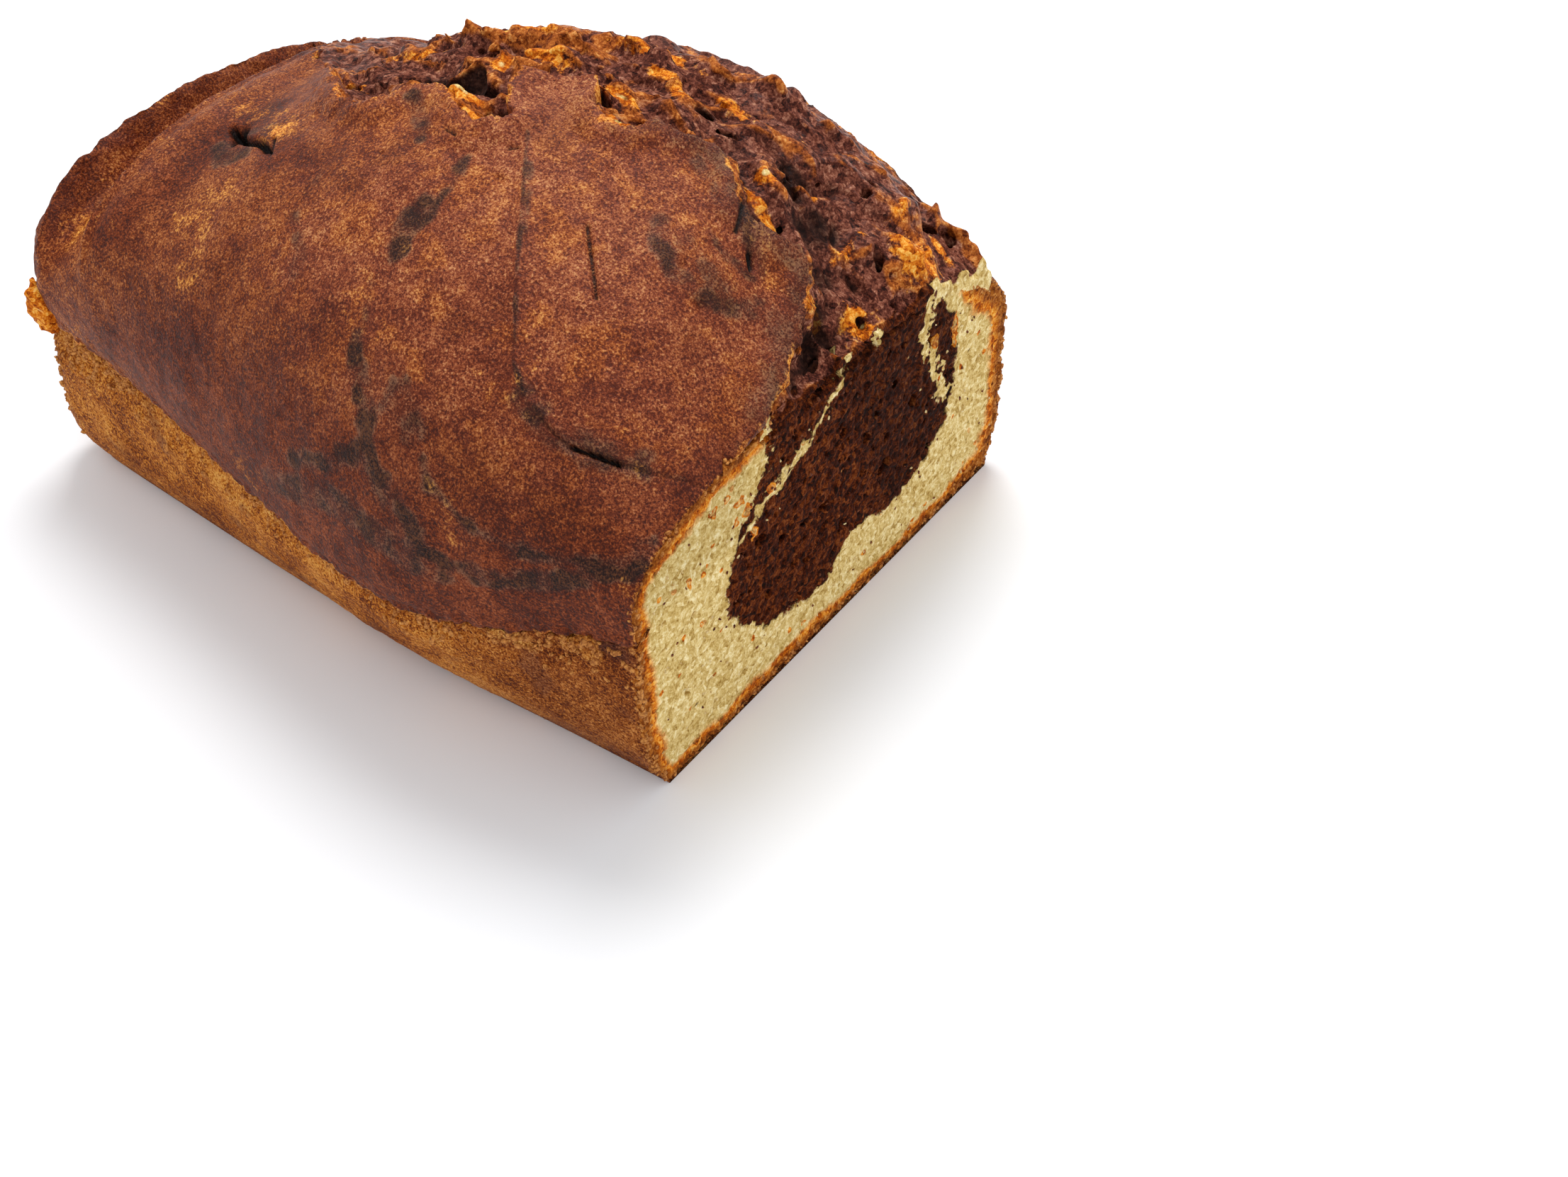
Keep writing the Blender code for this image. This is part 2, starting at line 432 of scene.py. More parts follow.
@dataclass
class Draft:
    """A piece being made: places in millimetres, faces, and values held at its points."""

    places: Array
    faces: Array
    values: dict[str, Array] = field(default_factory=dict)
    triangles: Array = field(default_factory=lambda: np.zeros((0, 3), dtype=int))

    def _edges(self) -> Array:
        """Every directed edge of the faces."""
        quads = [self.faces[:, [i, (i + 1) % 4]] for i in range(4)]
        thirds = [self.triangles[:, [i, (i + 1) % 3]] for i in range(3)]
        return np.concatenate(quads + thirds)

    def drop_small(self, least: int) -> "Draft":
        """Leave out parts that hold together by fewer points than least."""
        label = np.arange(len(self.places))
        edges = self._edges()
        while True:
            low = label.copy()
            np.minimum.at(low, edges[:, 0], label[edges[:, 1]])
            np.minimum.at(low, edges[:, 1], label[edges[:, 0]])
            low = low[low]
            if np.array_equal(low, label):
                break
            label = low
        count = np.bincount(label, minlength=len(label))
        return self.keep(count[label] >= least)

    def keep(self, wanted: Array) -> "Draft":
        """Keep only the wanted points and the faces between them."""
        index = np.cumsum(wanted) - 1
        self.faces = index[self.faces[wanted[self.faces].all(axis=1)]]
        self.triangles = index[self.triangles[wanted[self.triangles].all(axis=1)]]
        self.places = self.places[wanted]
        self.values = {name: value[wanted] for name, value in self.values.items()}
        return self

    def part(self, wanted: Array) -> "Draft":
        """The shape of the wanted faces alone."""
        made = Draft(self.places, self.faces[wanted], self.values)
        used = np.zeros(len(self.places), dtype=bool)
        used[made.faces.ravel()] = True
        return made.keep(used)

    def split(self, axis: int, at: float) -> list["Draft"]:
        """The parts past a place along an axis and before it, which share their border's points."""
        past = self.places[self.faces, axis].mean(axis=1) > at
        return [self.part(past), self.part(~past)]

    def close(self, middle: Array) -> "Draft":
        """Join every open border to a point inside, and turn all faces outward."""
        edges = self._edges()
        size = len(self.places)
        code = edges[:, 0].astype(np.int64) * size + edges[:, 1]
        back = edges[:, 1].astype(np.int64) * size + edges[:, 0]
        open_edges = edges[~np.isin(code, back)]
        fan = np.column_stack([open_edges[:, 1], open_edges[:, 0],
                               np.full(len(open_edges), size)])
        self.places = np.vstack([self.places, middle])
        self.values = {name: np.append(value, value.mean()) for name, value in self.values.items()}
        self.triangles = np.vstack([self.triangles, fan]).astype(int)
        if self._volume() < 0:
            self.faces = self.faces[:, ::-1]
            self.triangles = self.triangles[:, ::-1]
        return self

    def _volume(self) -> float:
        """Six times the signed volume inside the faces."""
        split = np.vstack([self.faces[:, [0, 1, 2]], self.faces[:, [0, 2, 3]], self.triangles])
        a, b, c = (self.places[split[:, i]] for i in range(3))
        return float(np.einsum("ij,ij->i", a, np.cross(b, c)).sum())


def grid_faces(columns: int, rows: int) -> Array:
    """Faces of a grid of points laid out column by column."""
    start = (np.arange(columns - 1)[:, None] * rows + np.arange(rows - 1)).ravel()
    return np.column_stack([start, start + 1, start + rows + 1, start + rows])


def even_rows(line: Array, count: int) -> Array:
    """Each row of points laid out again as count points at even distances along itself."""
    share = np.linspace(0.0, 1.0, count)
    step = np.linalg.norm(np.diff(line, axis=1), axis=2)
    run = np.concatenate([np.zeros((len(line), 1)), np.cumsum(step, axis=1)], axis=1)
    made = np.empty((len(line), count, line.shape[2]))
    for row, (places, reach) in enumerate(zip(line, run)):
        for axis in range(line.shape[2]):
            made[row, :, axis] = np.interp(share * reach[-1], reach, places[:, axis])
    return made


def grid_normals(grid: Array, middle: Array) -> Array:
    """Outward directions at the points of a grid."""
    along, across = np.gradient(grid, axis=0), np.gradient(grid, axis=1)
    normal = np.cross(along, across)
    normal /= np.maximum(np.linalg.norm(normal, axis=2, keepdims=True), 1e-9)
    outward = np.einsum("ijk,ijk->ij", normal, grid - middle)
    return normal * np.where(np.sum(outward) < 0, -1.0, 1.0)


def curved(start: Array, pull: Array, end: Array, share: Array) -> Array:
    """Points at shares of the curves from start to end, drawn towards pull, in rows."""
    a, b, c = start[:, None], pull[:, None], end[:, None]
    return (1 - share) ** 2 * a + 2 * share * (1 - share) * b + share ** 2 * c


def draw_in(places: Array, middle: Array, amount: float) -> Array:
    """Places moved towards the middle by an amount in millimetres."""
    away = middle - places
    return places + amount * away / np.linalg.norm(away, axis=-1, keepdims=True)


def surface_net(solid: Array) -> tuple[Array, Array]:
    """Skin between the inside and the outside of a solid given on a lattice.

    Args:
        solid: Values at the lattice's nodes, above 0 inside.

    Returns:
        Points in lattice steps, and faces of four points.
    """
    inside = solid > 0
    size = np.array(solid.shape)
    corners = list(itertools.product((0, 1), repeat=3))
    parts = [inside[a:size[0] - 1 + a, b:size[1] - 1 + b, c:size[2] - 1 + c] for a, b, c in corners]
    count = sum(part.astype(np.int8) for part in parts)
    active = (count > 0) & (count < 8)
    index = np.full(active.shape, -1, dtype=np.int64)
    index[active] = np.arange(np.count_nonzero(active))
    cell = np.argwhere(active)
    value = {c: solid[tuple((cell + np.array(c)).T)] for c in corners}
    total, hits = np.zeros((len(cell), 3)), np.zeros(len(cell))
    for a, b in itertools.combinations(corners, 2):
        if sum(abs(p - q) for p, q in zip(a, b)) == 1:
            cross = (value[a] > 0) != (value[b] > 0)
            share = value[a] / np.where(cross, value[a] - value[b], 1.0)
            place = np.array(a) + share[:, None] * (np.array(b) - np.array(a))
            total += np.where(cross[:, None], place, 0.0)
            hits += cross
    points = cell + total / hits[:, None]
    faces = []
    for axis in range(3):
        second, third = (axis + 1) % 3, (axis + 2) % 3
        low = [slice(None)] * 3
        high = [slice(None)] * 3
        low[axis], high[axis] = slice(0, -1), slice(1, None)
        change = inside[tuple(low)] != inside[tuple(high)]
        node = np.argwhere(change)
        fits = np.all([(node[:, a] >= 1) & (node[:, a] <= size[a] - 2) for a in (second, third)],
                      axis=0)
        node = node[fits]
        ring = []
        for step_second, step_third in ((-1, -1), (0, -1), (0, 0), (-1, 0)):
            step = np.zeros(3, dtype=int)
            step[second], step[third] = step_second, step_third
            ring.append(index[tuple((node + step).T)])
        quad = np.column_stack(ring)
        outward = inside[tuple(node.T)]
        faces.append(np.where(outward[:, None], quad, quad[:, ::-1]))
    return points, np.vstack(faces)


@dataclass(frozen=True)
class Placement:
    """Where the loaf's own millimetres lie in the frame."""

    low: Array
    high: Array
    front_reach: float

    def metres(self, places: Array) -> Array:
        """Frame places of millimetre places, kept inside the solid's box."""
        origin = np.array([self.high[0], self.low[1] + self.front_reach * MM, self.low[2]])
        return np.clip(places * MM + origin, self.low, self.high)


def add_object(name: str, data: Any) -> Any:
    """A new object in the scene."""
    made = bpy.data.objects.new(name, data)
    bpy.context.scene.collection.objects.link(made)
    return made


def feed(tree: Any, socket: Any, value: Any) -> None:
    """Link a node's input, or set its value."""
    value = value.socket if isinstance(value, Value) else value
    if isinstance(value, bpy.types.NodeSocket):
        tree.links.new(value, socket)
    else:
        socket.default_value = value


def add_node(tree: Any, kind: str, settings: dict[str, Any], sockets: dict[Any, Any]) -> Any:
    """Add a node to a tree.

    Args:
        tree: The tree of a material or of Geometry Nodes.
        kind: The node's type.
        settings: Its properties.
        sockets: A value or a link for each named or numbered input.

    Returns:
        The node.
    """
    node = tree.nodes.new(kind)
    for name, value in settings.items():
        setattr(node, name, value)
    for key, value in sockets.items():
        feed(tree, node.inputs[key], value)
    return node


@dataclass(frozen=True)
class Dresser:
    """Turns drafts into finished pieces that ride with the loaf and stand for its solid."""

    place: Placement

    def piece(self, name: str, draft: Draft, finish: bpy.types.Material, slot: Slot) -> Any:
        """Make one piece.

        Args:
            name: The piece's name.
            draft: Its shape.
            finish: Its material.
            slot: Its material slot; not used.

        Returns:
            The new object.
        """
        mesh = bpy.data.meshes.new(name)
        faces = draft.faces.tolist() + draft.triangles.tolist()
        mesh.from_pydata(self.place.metres(draft.places).tolist(), [], faces)
        for value_name, value in draft.values.items():
            layer = mesh.attributes.new(value_name, "FLOAT", "POINT")
            layer.data.foreach_set("value", value.astype(np.float32))
        mesh.materials.append(finish)
        mesh.shade_smooth()
        return self.settle(add_object(name, mesh), slot)

    def settle(self, made: Any, slot: Slot) -> Any:
        """Let a finished object ride with the loaf and report it."""
        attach(made, BODY)
        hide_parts(NODE)
        made.data.calc_loop_triangles()
        LOG.info("%s: %d triangles", made.name, len(made.data.loop_triangles))
        return made


# ---------------------------------------------------------------------------------------------
# Marks on the loaf


@dataclass(frozen=True)
class BurstMap:
    """Plan of the burst along the top: where the crust tore and what lies in the tear."""

    form: LoafForm
    noise: Noise
    lump_height: float = 2.4
    sill: float = 0.4
    edge_sink: float = 3.2
    edge: Outline = Outline((
        (-150, 73), (-144, 65), (-135, 60), (-128, 56), (-121, 50), (-113, 43), (-105, 40),
        (-99, 41), (-95, 46), (-89, 48), (-84, 47), (-80, 43), (-74, 41), (-70, 43), (-67, 46),
        (-72, 49), (-76, 54), (-77, 60), (-72, 64), (-66, 65), (-61, 62), (-58, 57), (-53, 54),
        (-49, 54), (-45, 60), (-39, 62), (-36, 65), (-31, 64), (-28, 60), (-25, 57), (-20, 56),
        (-17, 59), (-14, 61), (-11, 60), (-9, 56), (-7, 52), (-5, 46), (-3, 40), (-1, 33), (3, 28),
        (4, 112), (-12, 112), (-30, 110), (-50, 108), (-80, 104), (-110, 100), (-138, 92),
        (-150, 84)), True)
    pits: tuple[Spot, ...] = (
        Spot(-101, 58, 5, 3.4, 5.0), Spot(-92, 57, 6.4, 4.4, 7.4), Spot(-84, 55, 4, 2.6, 5.5),
        Spot(-72, 46.5, 3.6, 1.8, 5.0), Spot(-68, 64.5, 6.5, 2.6, 6.0), Spot(-61, 62, 3, 1.6, 3.5),
        Spot(-98, 70, 5, 2.0, 2.5), Spot(-91, 73, 4, 1.2, 2.5), Spot(-46.5, 76.6, 3.2, 1.6, 6.0),
        Spot(-41, 75.7, 3.0, 1.3, 5.0), Spot(-28.6, 78, 3.2, 3.0, 6.5),
        Spot(-25, 74, 2.4, 2.6, 6.0),
        Spot(-18.5, 74, 2.2, 2.6, 4.5), Spot(-12.5, 66, 1.5, 3.4, 3.4), Spot(-9, 81, 1.4, 1.5, 3.0),
        Spot(-50, 61, 2.2, 1.4, 3.0), Spot(-36, 73, 1.5, 1.2, 2.6), Spot(-20, 92.7, 1.3, 1.1, 2.8),
        Spot(-17.8, 90, 1.1, 1.0, 2.6), Spot(-21.4, 88.5, 1.0, 0.9, 2.4),
        Spot(-24, 86.5, 1.0, 0.9, 2.2),
        Spot(-11, 102.5, 1.6, 1.4, 3.4), Spot(-8, 106, 2.0, 1.6, 3.4),
        Spot(-118, 49, 3.2, 4.5, 5.0),
        Spot(-26, 60, 1.5, 3.4, 3.0))
    knolls: tuple[Spot, ...] = (
        Spot(-82, 48, 5, 2.6, 1.8, 0.6), Spot(-84, 65, 6, 3.2, 1.8, 0.4),
        Spot(-74, 72, 8, 2.6, 1.8, 0.4), Spot(-52, 58, 4, 2.6, 1.6, 0.4),
        Spot(-60, 69, 5, 2.4, 1.6, 0.4), Spot(-54, 78, 4, 2.6, 1.4, 0.4),
        Spot(-28, 70, 3, 2.2, 1.6, 0.4), Spot(-6, 89, 4.4, 6.0, 1.8, 0.6),
        Spot(-13.5, 78, 1.6, 5.0, 1.0, 0.2), Spot(-12.5, 95, 1.6, 6.0, 1.0, 0.2),
        Spot(-132, 73, 5, 3.6, 1.6, 0.4), Spot(-119, 74, 8, 3.6, 1.6, 0.2),
        Spot(-99, 77, 12, 3.0, 2.6, 0.8), Spot(-86, 80, 7, 2.4, 2.6, 0.8),
        Spot(-68, 86, 7, 2.6, 2.2, 0.4), Spot(-57, 91, 4, 2.0, 2.2, 0.6),
        Spot(-43, 95, 5, 1.8, 2.0, 0.6), Spot(-31, 99, 4, 1.8, 1.8, 0.4),
        Spot(-12, 107, 5, 1.8, 2.8, 0.8), Spot(-5, 109, 4, 2.2, 2.4, 0.8))
    golden: tuple[Spot, ...] = (
        Spot(-83, 47.5, 5.5, 2.2, 1.15), Spot(-87.3, 63.5, 2.6, 2.6, 1.0),
        Spot(-82, 69.5, 9, 2.4, 0.75),
        Spot(-52.3, 57, 3.4, 2.4, 1.15), Spot(-59, 66.4, 4.4, 1.6, 1.2),
        Spot(-53.3, 77.4, 2.6, 2.6, 0.9),
        Spot(-60, 80.5, 5.5, 1.8, 0.75), Spot(-45, 84, 5, 1.8, 0.55),
        Spot(-28, 70.5, 2.4, 2.2, 1.2),
        Spot(-26.5, 65, 3.6, 1.6, 0.8), Spot(-22.4, 64, 3.2, 1.5, 0.75),
        Spot(-24, 78.4, 1.4, 2.6, 0.7),
        Spot(-5.5, 89.5, 4.6, 6.8, 0.95), Spot(-4, 67, 3.6, 4.0, 0.6),
        Spot(-13.6, 78, 1.2, 5.0, 0.35),
        Spot(-12.6, 95, 1.3, 5.0, 0.4), Spot(-7, 100.5, 4.0, 1.2, 0.5), Spot(-98, 43, 7, 2.0, 0.85),
        Spot(-117, 71, 11, 2.0, 0.5), Spot(-73, 43, 9, 2.0, 0.7), Spot(-68, 49, 3.0, 3.6, 0.6),
        Spot(-67, 87, 11, 1.8, 0.6), Spot(-119, 52, 4, 2.4, 0.7), Spot(-96, 79, 10, 1.6, 0.7),
        Spot(-9, 57, 2.0, 4.0, 0.6))

    def depth(self, x: Array, y: Array) -> Array:
        """How far inside the torn opening each place is, with its ragged edge."""
        flat = in_plane(x, y)
        ragged = 1.1 * self.noise.smooth(flat, 5.5) + 0.6 * self.noise.smooth(flat, 2.0)
        ragged = ragged + 0.35 * self.noise.smooth(flat, 0.9)
        return self.edge.depth(np.asarray(x), np.asarray(y)) + ragged.reshape(np.shape(x))

    def strength(self, x: Array) -> Array:
        """How open the burst is along the loaf, from 0 to 1."""
        return np.minimum(self.form.burst_depth.at(x) / 3.0, 1.0)

    def floor(self, x: Array, y: Array, depth: Array) -> Array:
        """Height of the torn crumb beside the smooth dome."""
        front, back = self.form.burst_front.at(x), self.form.burst_back.at(x)
        share = (y - front) / (back - front)
        sink = self.form.burst_depth.at(x) * smooth_step(0.0, 5.0, depth)
        sink = sink * smooth_step(0.85, 0.45, share)
        broad = np.sin(0.23 * x + 1.1 * np.sin(0.11 * y)) * np.sin(0.27 * y + 0.9)
        fine = np.sin(0.47 * x + 0.31 * y) * np.sin(0.52 * y - 0.19 * x + 2.0)
        lumps = self.lump_height * (0.65 * broad + 0.35 * fine) * self.strength(x)
        lumps = lumps * smooth_step(0.0, 12.0, depth)
        return lumps - sink - self.sill - self.edge_sink * smooth_step(1.0, -2.0, depth)

    def ridged(self, spots: Array) -> Array:
        """Folds that run along the tear, from -1 in their furrows to 1 on their crests."""
        warp = self.noise.stray(spots, 2.2, 9.0)
        return (1.0 - 2.4 * np.abs(self.noise.smooth(warp + 23.0, (13.0, 5.5, 5.5)))
                + 0.5 * self.noise.smooth(warp, 3.0))

    def gold(self, x: Array, y: Array) -> Array:
        """Where pale batter was left bare and baked golden: above 0 inside a patch."""
        best = np.full(np.shape(x), -3.0)
        for mark in self.golden:
            best = np.maximum(best, (1 - mark.reach(x, y)) * mark.depth)
        return best

    def murk(self, x: Array, y: Array) -> Array:
        """How far in the shadow of a cavern each place is, from 0 to 1."""
        return np.maximum.reduce([mark.depth / 6.0 * hump(mark.reach(x, y), 1.5)
                                  for mark in self.pits])

    def bark(self, x: Array, y: Array) -> Array:
        """Where the tear healed over into a smooth dark crust, from 0 to 1."""
        back = smooth_step(66.0, 80.0, y) * smooth_step(-56.0, -38.0, x) * smooth_step(-4, -12, x)
        rear = smooth_step(86.0, 94.0, y)
        left = smooth_step(-118.0, -132.0, x)
        front = smooth_step(-46.0, -38.0, x) * smooth_step(76.0, 68.0, y) * smooth_step(-6, -14, x)
        return np.clip(0.8 * back + 0.85 * rear + left + 0.7 * front, 0.0, 1.0)


@dataclass(frozen=True)
class SkinMarks:
    """Swirls, slits, dents and ridges in the smooth crust of the dome, and the painted shade inside
    the slits.
    """

    form: LoafForm
    noise: Noise
    swirls: tuple[tuple[Outline, float, float], ...] = (
        (Outline(((-46, 66), (-44, 63), (-39, 61), (-35, 59), (-31, 58), (-26, 57), (-21, 57),
                  (-14, 58), (-7, 60), (-2, 61))), 1.4, 0.9),
        (Outline(((-69, 77), (-66, 74), (-63, 70), (-60, 67), (-57, 63), (-54, 60), (-50, 58),
                  (-45, 54), (-42, 50), (-36, 49), (-30, 49), (-23, 50), (-19, 52), (-13, 55.5),
                  (-7, 58), (-2, 60))), 1.9, 1.0),
        (Outline(((-78, 53), (-68, 57), (-62, 61), (-58, 65))), 1.8, 0.85),
        (Outline(((-84, 44), (-73, 48), (-65, 50), (-59, 50), (-53, 49), (-47, 47), (-40, 47))),
         3.2, 0.65),
        (Outline(((-55, 73), (-52, 71), (-50, 69))), 3.4, 0.6),
        (Outline(((-57, 62), (-50, 55), (-44, 49), (-38, 47))), 2.6, 0.5),
        (Outline(((-72, 85), (-69, 80), (-68, 75))), 1.5, 0.45),
    )
    smudges: tuple[tuple[Outline, float, float], ...] = (
        (Outline(((-92, 44), (-86, 39), (-82, 35))), 2.0, 0.85),
        (Outline(((-70, 34), (-68, 28), (-68, 23), (-69, 18))), 1.5, 0.8),
        (Outline(((-71, 23), (-71, 18), (-69, 14))), 3.0, 0.85),
        (Outline(((-58, 38), (-54, 34), (-52, 30), (-49, 26))), 1.1, 0.6),
        (Outline(((-98, 15), (-95, 12), (-91, 9), (-90, 6))), 1.8, 0.5),
        (Outline(((-98, 26), (-99, 20), (-97, 14))), 1.6, 0.4),
        (Outline(((-31, 43), (-28, 39), (-24, 37), (-19, 36.5), (-15, 39), (-12, 46))), 2.4, 0.72),
        (Outline(((-27, 43), (-22, 42), (-17, 43))), 3.2, 0.5),
        (Outline(((-24, 48), (-19, 47), (-15, 49))), 1.4, 0.6),
        (Outline(((-24, 58), (-20, 54), (-15, 52))), 1.8, 0.8),
        (Outline(((-38, 60), (-33, 58), (-27, 54))), 1.6, 0.5),
        (Outline(((-3, 50), (-2, 40))), 2.2, 0.6),
        (Outline(((-134, 27), (-129, 24), (-124, 26))), 2.6, 0.75),
        (Outline(((-129, 33), (-122, 33))), 1.8, 0.6),
        (Outline(((-63, 44), (-57, 36), (-51, 28), (-44, 18), (-36, 7), (-31, 4))), 0.6, 0.7),
        (Outline(((-31, 4), (-23, 3), (-17, 4), (-10, 7), (-3, 13))), 0.8, 0.75),
        (Outline(((-2, 56), (-1, 40), (-1, 20))), 1.6, 0.3),
        (Outline(((-162, 14), (-160, 30), (-158, 46))), 2.2, 0.4),
        (Outline(((-31, 3.6), (-24, 2.6), (-17, 4), (-9, 8))), 3.4, 0.6),
    )
    ridge: Outline = Outline(((-63, 44), (-57, 36), (-51, 28), (-44, 18), (-36, 7), (-31, 4),
                              (-22, 3)))
    slits: tuple[tuple[Outline, float, float], ...] = (
        (Outline(((-20, 2.6), (-17, 3.6), (-14, 4.8), (-12, 5.8))), 0.36, 2.0),
        (Outline(((-27, 3), (-23, 2.4), (-20, 2.6))), 0.36, 0.6),
        (Outline(((-12, 5.8), (-7.3, 8.8), (-1, 14.5))), 0.5, 0.5),
        (Outline(((-40, 33), (-37, 30), (-34, 27), (-32, 25), (-30, 23))), 0.42, 0.9),
        (Outline(((-64, 39.5), (-62.5, 40.5))), 0.4, 0.9),
        (Outline(((-78, 38), (-75, 37.4))), 0.36, 0.8),
        (Outline(((-136, 33.5), (-132, 31), (-127, 29.5), (-122, 29), (-118, 27))), 0.8, 2.6),
        (Outline(((-133, 33), (-131, 30))), 1.6, 2.8),
        (Outline(((-119, 30), (-116, 26))), 0.5, 1.2),
        (Outline(((-24, 57), (-21.5, 52.5))), 0.7, 0.9),
        (Outline(((-18, 52), (-16, 50))), 0.6, 1.2),
    )
    dents: tuple[Spot, ...] = (
        Spot(-61, 33, 1.4, 0.6, 0.9), Spot(-45, 46, 0.9, 0.8, 0.8), Spot(-46, 42, 0.6, 0.6, 0.6),
        Spot(-23, 39, 1.0, 0.8, 1.0), Spot(-17, 36, 1.0, 0.9, 1.0), Spot(-19, 21, 0.6, 0.6, 0.7),
        Spot(-19, -2, 0.6, 0.6, 0.5), Spot(-88, 30, 0.5, 0.5, 0.5), Spot(-104, 35, 0.6, 0.5, 0.5),
        Spot(-66, 12, 0.5, 0.6, 0.5), Spot(-112, 20, 0.5, 0.5, 0.4), Spot(-38, 48, 0.7, 0.7, 0.6))

    def plum(self, places: Array) -> Array:
        """Darkness of the chocolate batter that shows through the crust, from 0 to 1."""
        x, y, z = places.T
        wander = 1.0 * self.noise.smooth(places, 7.0) + 0.7 * self.noise.smooth(places, 2.6)
        total = np.zeros(len(x))
        front = smooth_step(14.0, 4.0, y)
        for line, width, strength in self.swirls:
            gap = line.distance(x, z) + 1.2 * wander
            total = np.maximum(total, strength * front * smooth_step(width + 1.5, width - 1.6, gap))
        for line, width, strength in self.smudges:
            fine = min(1.0, 0.4 * width)
            gap = Trail.over(self.form, line).distance(places) + wander * fine
            total = np.maximum(total, strength * smooth_step(width + 1.5 * fine,
                                                             width - 2.0 * fine, gap))
        return total * (0.5 + 0.5 * smooth_step(-0.5, 0.35, self.noise.smooth(places + 9.0, 4.0)))

    def relief(self, places: Array) -> Array:
        """Height of ridges and depth of slits and dents, in millimetres."""
        x, y, _ = places.T
        ridge = Trail.over(self.form, self.ridge).distance(places)
        high = 0.75 * np.exp(-ridge / 1.2) * smooth_step(-64.0, -56.0, x) * smooth_step(-18, -26, x)
        for line, width, deep in self.slits:
            high = high - deep * hump(Trail.over(self.form, line).distance(places), width)
        for mark in self.dents:
            high = high - mark.depth * hump(mark.reach(x, y), 1.0)
        return high

    def slit_shade(self, places: Array) -> Array:
        """Painted shade inside the slits, from 0 to 1."""
        total = np.zeros(len(places))
        for line, width, deep in self.slits:
            gap = Trail.over(self.form, line).distance(places)
            total = np.maximum(total, min(deep, 1.8) * hump(gap, 0.95 * width))
        return np.clip(1.3 * total - 0.2, 0.0, 1.0)


# ---------------------------------------------------------------------------------------------
# Finishes


class Value:
    """A number in a shader, which Python's operators turn into Math nodes."""

    def __init__(self, kit: "Kit", socket: Any) -> None:
        self.kit, self.socket = kit, socket

    def _math(self, operation: str, first: Any, second: Any) -> "Value":
        """Add a Math node over two numbers."""
        return self.kit.value("ShaderNodeMath", {"operation": operation}, {0: first, 1: second})

    def __add__(self, other: Any) -> "Value":
        """Sum."""
        return self._math("ADD", self, other)

    __radd__ = __add__

    def __sub__(self, other: Any) -> "Value":
        """Difference."""
        return self._math("SUBTRACT", self, other)

    def __rsub__(self, other: Any) -> "Value":
        """Difference the other way round."""
        return self._math("SUBTRACT", other, self)

    def __mul__(self, other: Any) -> "Value":
        """Product."""
        return self._math("MULTIPLY", self, other)

    __rmul__ = __mul__

    def frayed(self, *noises: tuple["Value", float]) -> "Value":
        """The number moved up and down by noises, each at its strength."""
        total = self
        for noise, strength in noises:
            total = total + (noise - 0.5) * strength
        return total

    def step(self, low: float, high: float) -> "Value":
        """0 at low, 1 at high and a smooth rise between."""
        settings = {"interpolation_type": "SMOOTHSTEP"}
        sockets = {"Value": self, "From Min": low, "From Max": high}
        return self.kit.value("ShaderNodeMapRange", settings, sockets)


